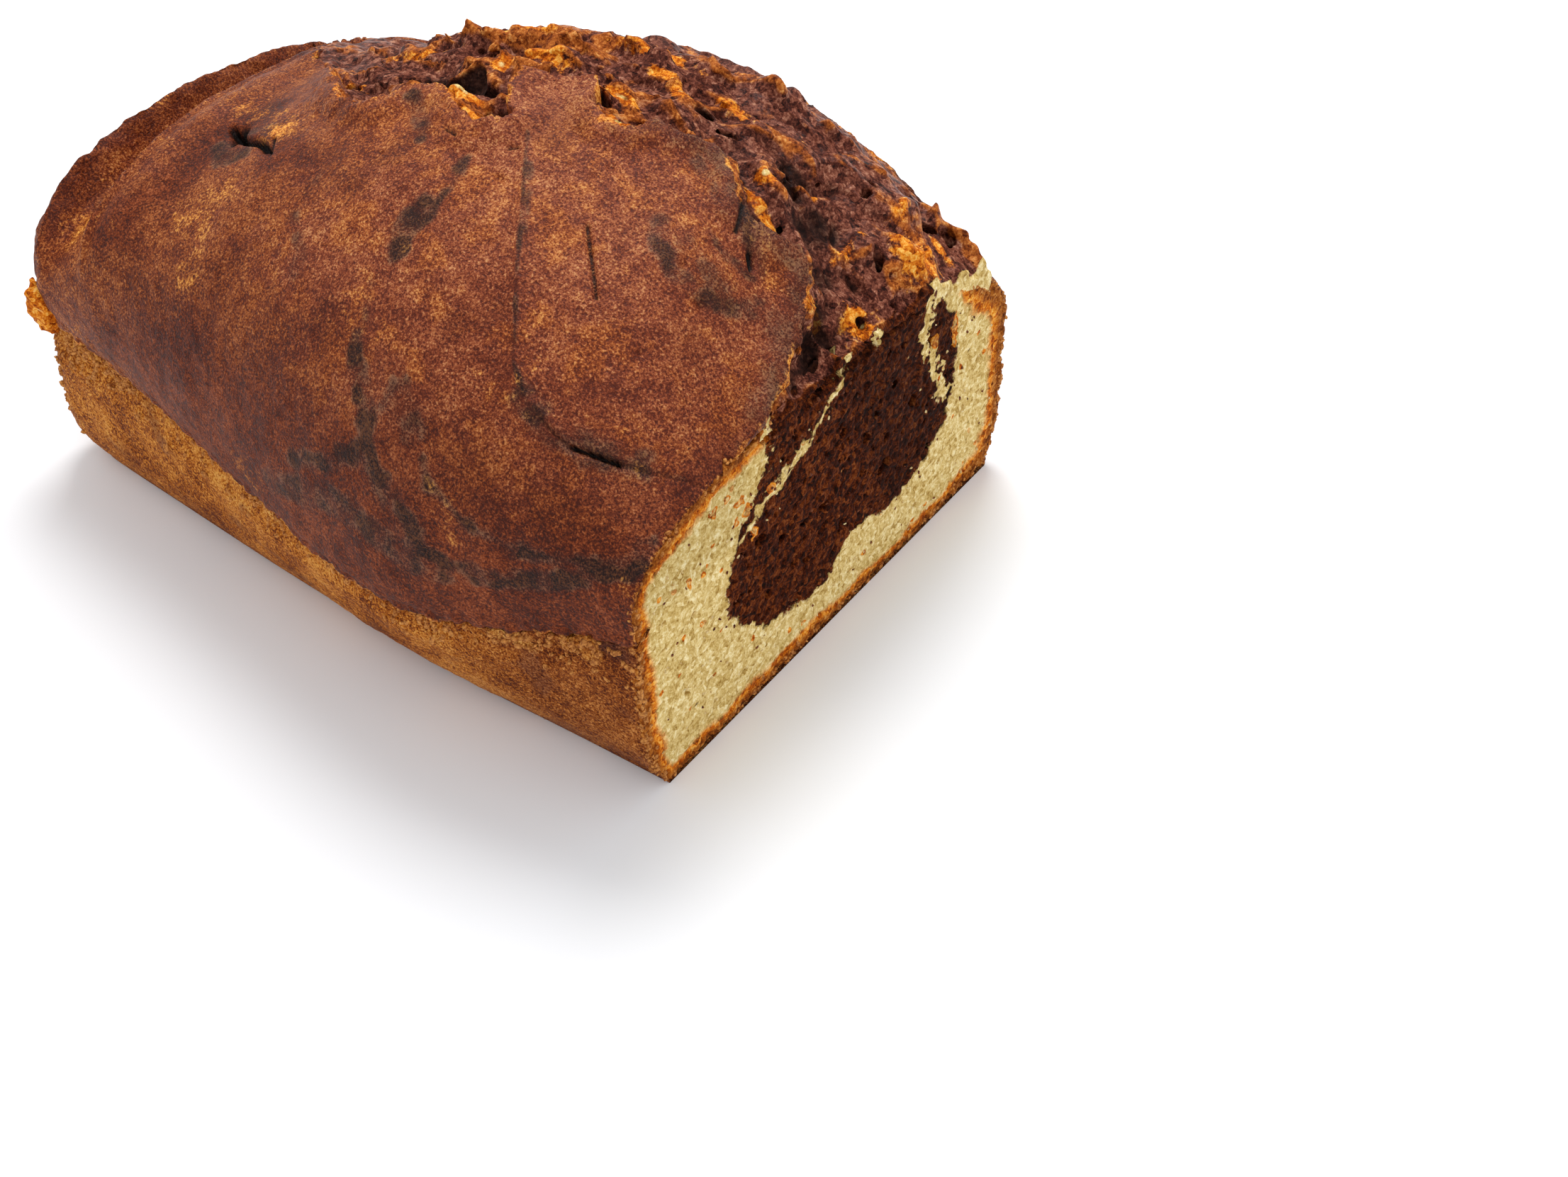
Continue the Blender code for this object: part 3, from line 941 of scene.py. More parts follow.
class Kit:
    """Builds the nodes of one material."""

    def __init__(self, name: str) -> None:
        """Start a material with a bare shader."""
        self.material = bpy.data.materials.new(name)
        self.material.use_nodes = True
        self.tree = self.material.node_tree
        self.shader = self.tree.nodes["Principled BSDF"]
        self.node = partial(add_node, self.tree)
        where = self.node("ShaderNodeTexCoord", {}, {})
        self.place = self.socket("ShaderNodeVectorMath", {"operation": "SCALE"},
                                 {0: where.outputs["Object"], "Scale": 1.0 / MM})

    def socket(self, kind: str, settings: dict[str, Any], sockets: dict[Any, Any]) -> Any:
        """Add a node and give its first output in use."""
        made = self.node(kind, settings, sockets)
        return next(output for output in made.outputs if output.enabled)

    def value(self, kind: str, settings: dict[str, Any], sockets: dict[Any, Any]) -> Value:
        """Add a node and give its first output as a number."""
        return Value(self, self.socket(kind, settings, sockets))

    def held(self, name: str) -> Value:
        """The number that the piece holds at each point under this name."""
        made = self.node("ShaderNodeAttribute", {"attribute_name": name}, {})
        return Value(self, made.outputs["Fac"])

    def noise(self, size: float, detail: float = 2.0, rough: float = 0.5, twist: float = 0.0,
              shift: float = 0.0) -> Value:
        """Soft noise from 0 to 1 with features of a size in millimetres."""
        moved = self.socket("ShaderNodeVectorMath", {"operation": "ADD"},
                            {0: self.place, 1: (shift, 0.7 * shift, -0.4 * shift)})
        return self.value("ShaderNodeTexNoise", {}, {
            "Vector": moved, "Scale": 1.0 / size, "Detail": detail, "Roughness": rough,
            "Distortion": twist})

    def cells(self, size: float, shift: float = 0.0) -> Any:
        """A node of cells of a size in millimetres."""
        moved = self.socket("ShaderNodeVectorMath", {"operation": "ADD"},
                            {0: self.place, 1: (shift, -shift, 0.3 * shift)})
        return self.node("ShaderNodeTexVoronoi", {}, {"Vector": moved, "Scale": 1.0 / size})

    def ramp(self, value: Value, spots: tuple[float, ...], colours: Tones) -> Any:
        """Colours along a number, each at its spot."""
        made = self.node("ShaderNodeValToRGB", {}, {"Fac": value})
        stops = made.color_ramp.elements
        for _ in colours[len(stops):]:
            stops.new(0.5)
        for stop, spot, colour in zip(stops, spots, colours):
            stop.position, stop.color = spot, colour
        return made.outputs["Color"]

    def mix(self, factor: Any, first: Any, second: Any) -> Any:
        """Two colours mixed."""
        made = self.node("ShaderNodeMix", {"data_type": "RGBA"}, {"Factor": factor})
        feed(self.tree, made.inputs[6], first)
        feed(self.tree, made.inputs[7], second)
        return made.outputs[2]

    def finish(self, colour: Any, roughness: Any, bump: Value, depth: float,
               fixed: dict[str, Any]) -> bpy.types.Material:
        """Join the colour, roughness and bump to the shader.

        Args:
            colour: Base colour.
            roughness: Roughness, a number or a link.
            bump: Height from 0 to 1.
            depth: Millimetres that the height stands for.
            fixed: Values that are the same all over, by socket name.

        Returns:
            The material.
        """
        feed(self.tree, self.shader.inputs["Base Color"], colour)
        feed(self.tree, self.shader.inputs["Roughness"], roughness)
        normal = self.socket("ShaderNodeBump", {}, {
            "Height": bump, "Distance": depth * MM, "Strength": 1.0})
        feed(self.tree, self.shader.inputs["Normal"], normal)
        for name, value in fixed.items():
            self.shader.inputs[name].default_value = value
        return self.material


@dataclass(frozen=True)
class SkinFinish:
    """Red-brown domed crust with fine tan flecks, plum swirls and golden breaks, darkened for
    browning and painted shade, with painted shade in its slits.
    """

    name: str = "browned_skin"
    skin: Tones = tones((80, 28, 12), (122, 54, 28), (162, 89, 52), (202, 141, 92))
    # Darker copy of the skin, laid on where the shade is held: painted shade low on the dome and on
    # its left part, and browning elsewhere.
    darkened: Tones = tones((53, 15, 4), (89, 32, 9), (128, 57, 21), (162, 89, 52))
    ember: Tones = tones((88, 31, 5), (134, 60, 17), (182, 103, 44), (218, 150, 82))
    plum: Tones = tones((20, 10, 7), (45, 23, 16), (86, 52, 31))
    ash: Tones = tones((34, 20, 16), (72, 44, 35), (122, 84, 62))
    gold: Tones = tones((146, 66, 13), (202, 111, 34), (242, 173, 82))
    # Colour of the painted shade inside the slits.
    slit_shade: Colour = hue(14, 5, 3)
    roughness: float = 0.5
    grain: float = 0.62

    def build(self) -> bpy.types.Material:
        """Make the material."""
        kit = Kit(self.name)
        grain = kit.noise(self.grain, 3.0, 0.6, 0.3)
        fleck = kit.noise(0.6 * self.grain, 1.0, 0.5, 0.5, 31.0)
        blotch = kit.noise(3.4, 3.0, 0.55, 0.0, 7.0)
        cloud = kit.noise(22.0, 2.0, 0.5, 0.0, 53.0)
        speckle = (grain * 0.55 + fleck * 0.45).frayed((blotch, 0.3), (cloud, 0.22))
        skin = kit.ramp(speckle, (0.38, 0.485, 0.575, 0.68), self.skin)
        darkened = kit.ramp(speckle, (0.38, 0.49, 0.585, 0.7), self.darkened)
        ember = kit.ramp(speckle, (0.38, 0.485, 0.575, 0.68), self.ember)
        plum = kit.ramp(speckle, (0.4, 0.5, 0.6), self.plum)
        ash = kit.ramp(speckle, (0.4, 0.5, 0.6), self.ash)
        plum = kit.mix(kit.held("plum").step(0.4, 0.66), ash, plum)
        gold = kit.ramp(speckle, (0.36, 0.5, 0.64), self.gold)
        warm = kit.noise(11.0, 4.0, 0.6, 0.2, 77.0)
        warm = (warm.frayed((blotch, 0.4)) + kit.held("ember") * 0.12).step(0.46, 0.64)
        skin = kit.mix(warm * 0.7, skin, ember)
        # Painted shade and browning: the darker copy is laid on where the shade is held.
        colour = kit.mix(kit.held("shade").frayed((blotch, 0.6)).step(0.0, 1.0), skin, darkened)
        swirl = (kit.held("plum") * 1.25).frayed((grain, 1.0), (blotch, 1.3)).step(0.1, 0.95)
        swirl = swirl * kit.held("plum").step(0.0, 0.4) * 0.9
        bare = kit.held("gold").frayed((grain, 0.9), (blotch, 0.9)).step(0.25, 0.75)
        colour = kit.mix(swirl, colour, plum)
        colour = kit.mix(bare, colour, gold)
        # Painted shade inside the slits.
        colour = kit.mix(kit.held("deep").step(0.0, 1.0), colour, self.slit_shade)
        rough = self.roughness + (grain - 0.5) * 0.4 + bare * 0.2
        bump = grain * 0.6 + fleck * 0.5 + blotch * 0.5
        return kit.finish(colour, rough, bump, 0.4, {"Specular IOR Level": 0.14})


@dataclass(frozen=True)
class WallFinish:
    """Golden-brown crust that the tin shaped: finer, sandier and more orange."""

    name: str = "tin_browned_wall"
    wall: Tones = tones((90, 34, 2), (158, 81, 16), (202, 123, 43), (226, 162, 76))
    # Darker copy of the wall, laid on towards the cut and at the foot.
    darkened: Tones = tones((72, 24, 3), (122, 57, 14), (162, 90, 34), (206, 136, 70))
    gold: Tones = tones((140, 70, 16), (188, 114, 42), (230, 172, 94))
    brown: Tones = tones((52, 22, 14), (98, 50, 32), (146, 88, 58))
    # Colour of the painted shade where the wall tucks in under the dome's lip.
    under: Colour = hue(48, 20, 8)
    roughness: float = 0.62

    def build(self) -> bpy.types.Material:
        """Make the material."""
        kit = Kit(self.name)
        grain = kit.noise(0.6, 3.0, 0.62, 0.3)
        fleck = kit.noise(0.4, 1.0, 0.6, 0.4, 31.0)
        blotch = kit.noise(4.0, 3.0, 0.55, 0.0, 7.0)
        cloud = kit.noise(24.0, 2.0, 0.5, 0.0, 53.0)
        speckle = (grain * 0.6 + fleck * 0.4).frayed((blotch, 0.25), (cloud, 0.3))
        wall = kit.ramp(speckle, (0.39, 0.475, 0.55, 0.65), self.wall)
        darkened = kit.ramp(speckle, (0.39, 0.475, 0.56, 0.66), self.darkened)
        gold = kit.ramp(speckle, (0.36, 0.5, 0.64), self.gold)
        brown = kit.ramp(speckle, (0.36, 0.5, 0.66), self.brown)
        bare = kit.held("gold").frayed((grain, 0.9), (blotch, 0.8)).step(0.3, 0.8)
        dark = kit.held("plum").frayed((grain, 0.5), (blotch, 0.6)).step(0.25, 0.8)
        wall = kit.mix(kit.held("shade").frayed((blotch, 0.5)).step(0.0, 1.0), wall, darkened)
        colour = kit.mix(dark, wall, brown)
        colour = kit.mix(bare, colour, gold)
        # Painted shade under the dome's lip.
        colour = kit.mix(kit.held("deep").step(0.0, 1.0), colour, self.under)
        rough = self.roughness + (grain - 0.5) * 0.35
        bump = grain * 0.8 + fleck * 0.6 + blotch * 0.7
        return kit.finish(colour, rough, bump, 0.55, {"Specular IOR Level": 0.08})


@dataclass(frozen=True)
class CrumbFinish:
    """Cut and torn crumb: vanilla and chocolate, toasted towards the crust, with painted shade in
    its pores, hollows and caverns.
    """

    name: str = "marbled_crumb"
    vanilla: Tones = tones((150, 112, 46), (200, 167, 96), (225, 197, 130), (250, 232, 180))
    cocoa: Tones = tones((20, 4, 0), (59, 18, 2), (103, 45, 11), (148, 85, 40))
    toast: Tones = tones((110, 41, 3), (190, 92, 13), (230, 142, 38), (250, 197, 100))
    baked: Tones = tones((30, 10, 7), (82, 38, 27), (127, 72, 54), (180, 126, 100))
    tan: Tones = tones((76, 27, 6), (142, 70, 24), (184, 104, 42), (224, 158, 88))
    rim: Tones = tones((70, 28, 4), (134, 68, 16), (172, 100, 34), (210, 148, 76))
    # Colour of the painted shade in pores, hollows and caverns, and of the painted shadow on the
    # cut face's upper part.
    cavern_shade: Colour = hue(20, 7, 4)
    spots: tuple[float, ...] = (0.36, 0.47, 0.56, 0.67)
    cocoa_spots: tuple[float, ...] = (0.38, 0.49, 0.58, 0.72)
    roughness: float = 0.82

    def build(self) -> bpy.types.Material:
        """Make the material."""
        kit = Kit(self.name)
        grain = kit.noise(0.9, 3.0, 0.6, 0.4)
        fine = kit.noise(0.45, 2.0, 0.6, 0.0, 19.0)
        blotch = kit.noise(2.6, 3.0, 0.6, 0.0, 5.0)
        cell = kit.cells(1.25)
        tint = kit.value("ShaderNodeSeparateColor", {}, {0: cell.outputs["Color"]})
        speckle = grain * 0.45 + fine * 0.3 + blotch * 0.15 + tint * 0.16 - 0.03
        vanilla = kit.ramp(speckle + 0.03, self.spots, self.vanilla)
        cocoa = kit.ramp(speckle, self.cocoa_spots, self.cocoa)
        toast, baked, tan, outer = (kit.ramp(speckle, self.spots, colours) for colours in
                                    (self.toast, self.baked, self.tan, self.rim))
        edge = kit.held("cocoa").frayed((blotch, 3.4), (fine, 1.6))
        colour = kit.mix(edge.step(-0.35, 0.35), vanilla, cocoa)
        crumbly = kit.cells(2.3, 11.0)
        stray = kit.value("ShaderNodeSeparateColor", {}, {0: crumbly.outputs["Color"]})
        near = Value(kit, crumbly.outputs["Distance"])
        speck = stray.step(0.955, 0.965) * near.step(0.34, 0.26) * edge.step(0.0, -1.0)
        colour = kit.mix(speck, colour, toast)
        crust = kit.mix(kit.held("tan").frayed((blotch, 0.9)).step(0.0, 0.5), baked, tan)
        bake = kit.held("bake").frayed((grain, 0.5), (blotch, 0.7)).step(0.2, 0.8)
        colour = kit.mix(bake, colour, crust)
        gold = (kit.held("gold") * 1.6).frayed((grain, 1.0), (blotch, 2.2)).step(0.0, 0.5)
        colour = kit.mix(gold, colour, toast)
        cream = (kit.held("gold") * 1.6).frayed((blotch, 1.2)).step(1.1, 1.5)
        colour = kit.mix(cream, colour, vanilla)
        rim = kit.held("toast").frayed((grain, 0.5), (blotch, 0.6)).step(0.15, 0.75)
        colour = kit.mix(rim, colour, toast)
        edge = kit.held("toast").frayed((grain, 0.4), (blotch, 0.3)).step(0.85, 1.25)
        colour = kit.mix(edge, colour, outer)
        # Painted shade and painted shadow, where the crumb holds deep.
        colour = kit.mix(kit.held("deep").step(0.0, 1.0) * 0.88, colour, self.cavern_shade)
        bump = grain * 0.5 + fine * 0.35 + (1.0 - Value(kit, cell.outputs["Distance"])) * 0.35
        bump = bump * (1.0 - kit.held("gloss") * 0.5)
        rough = self.roughness - kit.held("gloss") * 0.38 - kit.held("bake") * 0.08
        return kit.finish(colour, rough, bump, 0.5, {"Specular IOR Level": 0.07})


@dataclass(frozen=True)
class PlainCrumbs:
    """Loose crumbs of one colour."""

    name: str
    colours: Tones

    def build(self) -> bpy.types.Material:
        """Make the material."""
        kit = Kit(self.name)
        grain = kit.noise(0.6, 3.0, 0.6)
        colour = kit.ramp(grain, (0.35, 0.65), self.colours)
        return kit.finish(colour, 0.8, grain, 0.3, {"Specular IOR Level": 0.25})


# ---------------------------------------------------------------------------------------------
# Sub-assemblies


def break_back(noise: Noise, grid: Array, amount: Any) -> None:
    """Break a crust's first rows back from the cut's plane, the first of them most."""
    coarse = smooth_step(0.0, 0.8, noise.smooth(grid[0], 4.0))
    broken = (1.5 * coarse + 0.5 * np.abs(noise.smooth(grid[0], 1.5))) * amount
    grid[:BROKEN_ROWS, :, 0] -= broken[None, :] * np.linspace(1.0, 0.1, BROKEN_ROWS)[:, None]


def hem(edge: Array, facing: Array) -> list[Array]:
    """Hidden rows that turn a crust's edge in behind the cut, the innermost first."""
    return [draw_in(edge + [dx, 0, 0], facing, inward) for dx, inward in HEM]


@dataclass(frozen=True)
class DomeCrust:
    """The domed skin: front and back, wrapped over the whole end's rim, torn along the burst."""

    form: LoafForm
    noise: Noise
    burst: BurstMap
    marks: SkinMarks
    spacing: float = 0.47
    front_rows: int = 250
    back_rows: int = 170
    seam_y: float = 86.0
    overlap: float = 4.0
    shrink: float = 0.4
    torn_drop: float = 11.0
    torn_width: float = 1.5
    tear_start: float = -140.0
    seam_start: float = -152.0
    under_tear: tuple[float, float] = (10.0, 9.0)
    swells: tuple[tuple[float, float], ...] = ((0.5, 26.0), (0.28, 9.0))
    fold_x: float = -150.5
    fold_height: float = 1.5
    fold_depth: float = 2.2
    dive: float = 0.5
    lap_gap: float = 0.05
    browned: Spot = Spot(-55, 56, 34.0, 16.0, 0.45)
    worn: tuple[Spot, ...] = (Spot(-120, 33, 6.0, 5.0, 0.6), Spot(-108, 46, 8.0, 5.0, 0.55))

    def lip(self, x: Array, back: bool) -> Array:
        """Wander of the crease's height along the loaf."""
        line = np.column_stack([x, np.full(len(x), 90.0 if back else 0.0), np.zeros(len(x))])
        return 1.2 * self.noise.smooth(line, 10.0) + 0.6 * self.noise.smooth(line, 3.5)

    def side(self, at: Stations, back: bool, last_y: Array) -> Array:
        """Section lines from the crease's overhanging lip up to last_y.

        Args:
            at: The stations.
            back: True for the back of the loaf.
            last_y: Where each line ends.

        Returns:
            Dense rows of (y, z) points.
        """
        sign = -1.0 if back else 1.0
        y, z = self.form.crease_point(at.x, back)
        z = z + self.lip(at.x, back)
        start = 0.0 if not back else math.pi
        spring_y, spring_z = self.form.arch(at.x, np.full(len(at.x), start))
        tip = np.stack([y - sign * 0.5, z + 0.5], axis=-1)
        hidden = np.stack([y + sign * 2.8, z + 1.4], axis=-1)
        under = np.stack([y + sign * 0.6, z - 0.2], axis=-1)
        knee = np.stack([spring_y, z + 0.4 * (spring_z - z)], axis=-1)
        spring = np.stack([spring_y, spring_z], axis=-1)
        share = np.linspace(0.0, 1.0, 24)[None, :, None]
        roll = curved(hidden, under, tip, share)
        rise = curved(tip, knee, spring, share)
        last = self.form.arch_angle(at.x, last_y)
        angle = start + (last - start)[:, None] * np.linspace(0.0, 1.0, 900)[None, 1:]
        arch = np.stack(self.form.arch(at.x[:, None], angle), axis=-1)
        return np.concatenate([roll, rise[:, 1:], arch], axis=1)

    def patch(self, back: bool) -> Draft:
        """The front or back half of the skin."""
        at = self.form.stations(self.spacing)
        opened = smooth_step(self.seam_start, self.tear_start, at.x)
        if back:
            far = self.form.burst_back.at(at.x) - self.under_tear[1]
            last_y = self.seam_y - self.overlap + (far - self.seam_y + self.overlap) * opened
        else:
            far = self.form.burst_front.at(at.x) + self.under_tear[0]
            last_y = self.seam_y + (far - self.seam_y) * opened
        line = even_rows(self.side(at, back, last_y), self.back_rows if back else self.front_rows)
        grid = self.form.settle(at, line[..., 0], line[..., 1])
        middle = self.form.middle
        normal = grid_normals(grid, middle)
        x, y = grid[..., 0].ravel(), grid[..., 1].ravel()
        depth = self.burst.depth(x, y)
        flat = grid.reshape(-1, 3)
        high, tear = self.relief(flat, depth, back)
        raised = flat + normal.reshape(-1, 3) * high[:, None]
        if back:
            dive = (1 - opened[:, None]) * np.linspace(0, 1, line.shape[1])[None, :] ** 40
            sunk = self.dive * dive.ravel() + self.lap_gap
            raised = raised - normal.reshape(-1, 3) * sunk[:, None]
        raised = raised.reshape(grid.shape)
        return self.finish(raised, grid, depth.reshape(grid.shape[:2]),
                           tear.reshape(grid.shape[:2]), back)

    def relief(self, flat: Array, depth: Array, back: bool) -> tuple[Array, Array]:
        """Height of the skin beside its smooth form, and how torn it is.

        Args:
            flat: Places on the smooth form.
            depth: How far inside the tear each is.
            back: True for the back half.

        Returns:
            Heights in millimetres, and 0 to 1 where the skin is broken through.
        """
        x, _, z = flat.T
        strength = self.burst.strength(x)
        lip = self.form.burst_lip * (0.4 if back else 1.0)
        high = lip * smooth_step(-self.form.burst_lip_width, -0.5, depth) * strength
        for height, size in self.swells:
            high = high + height * self.noise.smooth(flat, size)
        high = high + 0.1 * self.noise.layered(flat, 2.6, 3, 0.6)
        if not back:
            high = high + self.marks.relief(flat)
        rim = smooth_step(-164.0, -168.0, x)
        high = high + rim * (0.7 * self.noise.smooth(flat, 5.0)
                             + 0.35 * self.noise.smooth(flat, 2.0) - 0.3)
        past = x - self.fold_x + 1.2 * self.noise.smooth(flat * [0, 1, 0], 14.0)
        fold = self.fold_height * hump(past, 0.8) - self.fold_depth * hump(past + 3.0, 2.2)
        high = high + fold * smooth_step(54.0, 66.0, z)
        low_edge = smooth_step(7.0, 0.5, z - self.form.crease.at(x))
        high = high + low_edge * (0.8 * self.noise.smooth(flat, 3.2)
                                  + 0.5 * self.noise.smooth(flat, 1.5))
        edge = 0.5 * self.noise.layered(flat, 3.0, 2, 0.6) * smooth_step(-3.0, -0.3, depth)
        high = high + edge * strength
        drop = smooth_step(0.0, self.torn_width, depth) * smooth_step(0.05, 0.25, strength)
        high = high - self.torn_drop * drop - self.shrink
        near = smooth_step(-1.2, 0.2, depth + 0.8 * self.noise.smooth(flat, 1.6))
        return high, near * smooth_step(0.05, 0.3, strength)

    def finish(self, grid: Array, ground: Array, depth: Array, tear: Array, back: bool) -> Draft:
        """Wrap the skin over its end edges and hold its marks at its points.

        Args:
            grid: Places by station and row.
            ground: The same places on the smooth form.
            depth: How far inside the tear each is.
            tear: How torn the skin is.
            back: True for the back half.

        Returns:
            The closed draft.
        """
        middle = self.form.middle
        break_back(self.noise, grid, 1.6 if back else 1.0)
        facing = middle + [60.0, -4.0, 8.0]
        hems = hem(grid[0], facing)
        end = grid[-1]
        away = np.array([-self.form.length, middle[1], 40.0])
        ends = [draw_in(end + [dx, 0, 0], away, inward) for dx, inward in
                ((0.0, 0.5), (0.05, 1.2), (0.25, 2.2), (1.6, 3.4))]
        grid = np.concatenate([np.stack(hems), grid, np.stack(ends)])
        pad = ((4, 4), (0, 0))
        depth, tear = np.pad(depth, pad, mode="edge"), np.pad(tear, pad, mode="edge")
        ground = np.pad(ground, pad + ((0, 0),), mode="edge").reshape(-1, 3)
        flat = grid.reshape(-1, 3)
        x = flat[:, 0]
        plum = np.zeros(len(flat)) if back else self.marks.plum(ground)
        plum = np.maximum(plum, self.beside(flat, depth.ravel()))
        gold = self.bare(flat, tear.ravel(), back)
        slit_shade = 0.0 * x if back else self.marks.slit_shade(ground)
        faces = grid_faces(grid.shape[0], grid.shape[1])
        # shade holds painted shade low on the dome and on its left part together with browning;
        # deep holds the painted shade inside the slits.
        values = {"plum": plum, "gold": gold, "deep": slit_shade,
                  "shade": self.browning_and_shade(flat),
                  "ember": smooth_step(-62.0, -112.0, x)}
        return Draft(flat, faces, values).close(middle)

    def beside(self, flat: Array, depth: Array) -> Array:
        """Chocolate batter in the skin beside the tear."""
        x = flat[:, 0]
        near = smooth_step(-8.0, -0.5, depth + 1.5 * self.noise.smooth(flat, 6.0))
        return 0.5 * near * smooth_step(-60.0, -38.0, x)

    def browning_and_shade(self, flat: Array) -> Array:
        """Painted shade low on the dome and on its left part, with darker browning round the whole
        end and in soft clouds.
        """
        x, y, z = flat.T
        # Painted shade: the lower dome is darkened as if less light reached it. The darkening eases
        # off towards the whole end, so the lower left stays lighter as a painted sheen.
        low = 0.95 * smooth_step(86.0, 52.0, z + 5.0 * self.noise.smooth(flat, 22.0))
        low = low * (0.3 + 0.7 * smooth_step(-155.0, -112.0, x))
        swirl = self.browned.glow(x, z) * (y < 30)
        rim = 0.6 * smooth_step(-164.5, -168.0, x)
        rim = np.maximum(rim, 0.2 * hump(x + 154.5, 3.0) * smooth_step(54.0, 66.0, z))
        # Painted shade over the dome's left part.
        left = 0.42 * smooth_step(-84.0, -110.0, x) * smooth_step(-162.0, -152.0, x)
        cloud = 0.55 * smooth_step(0.0, 0.8, self.noise.layered(flat, 20.0, 3))
        return np.clip(np.maximum.reduce([low, swirl, rim, left]) + cloud, 0.0, 1.0)

    def bare(self, flat: Array, tear: Array, back: bool) -> Array:
        """Golden places where the skin is broken or rubbed thin, and a painted highlight along the
        fold's crest.
        """
        x, y, z = flat.T
        gold = 0.8 * tear * smooth_step(-0.5, 0.3, self.noise.smooth(flat, 6.0))
        valley = hump(x + 160.5, 5.0) * smooth_step(50.0, 60.0, z) * 0.36
        valley = valley * (1.0 + 0.8 * self.noise.smooth(flat + 15.0, 7.0))
        # Painted highlight: a thin light line along the fold's crest.
        crest = 0.26 * hump(x + 150.3, 0.8) * smooth_step(58.0, 68.0, z)
        warm = 0.2 * smooth_step(0.15, 0.7, self.noise.layered(flat + 60.0, 18.0, 2))
        warm = warm * (1.0 + 0.5 * smooth_step(-80.0, -120.0, x))
        cut = smooth_step(-1.2, -0.3, x) * 0.42
        crease = self.form.crease.at(x) - (self.form.back_slump.at(x) if back else 0.0)
        lip = smooth_step(2.6, 0.4, z - crease)
        lip = lip * smooth_step(-0.3, 0.4, self.noise.smooth(flat, 8.0))
        rim = 0.45 * smooth_step(-167.0, -170.5, x) * smooth_step(-0.2, 0.5,
                                                                  self.noise.smooth(flat, 3.0))
        worn = [mark.glow(x, y) * (0.0 if back else 1.0) for mark in self.worn]
        return np.maximum.reduce([gold, valley, warm, cut, 0.75 * lip, rim, *worn, crest])


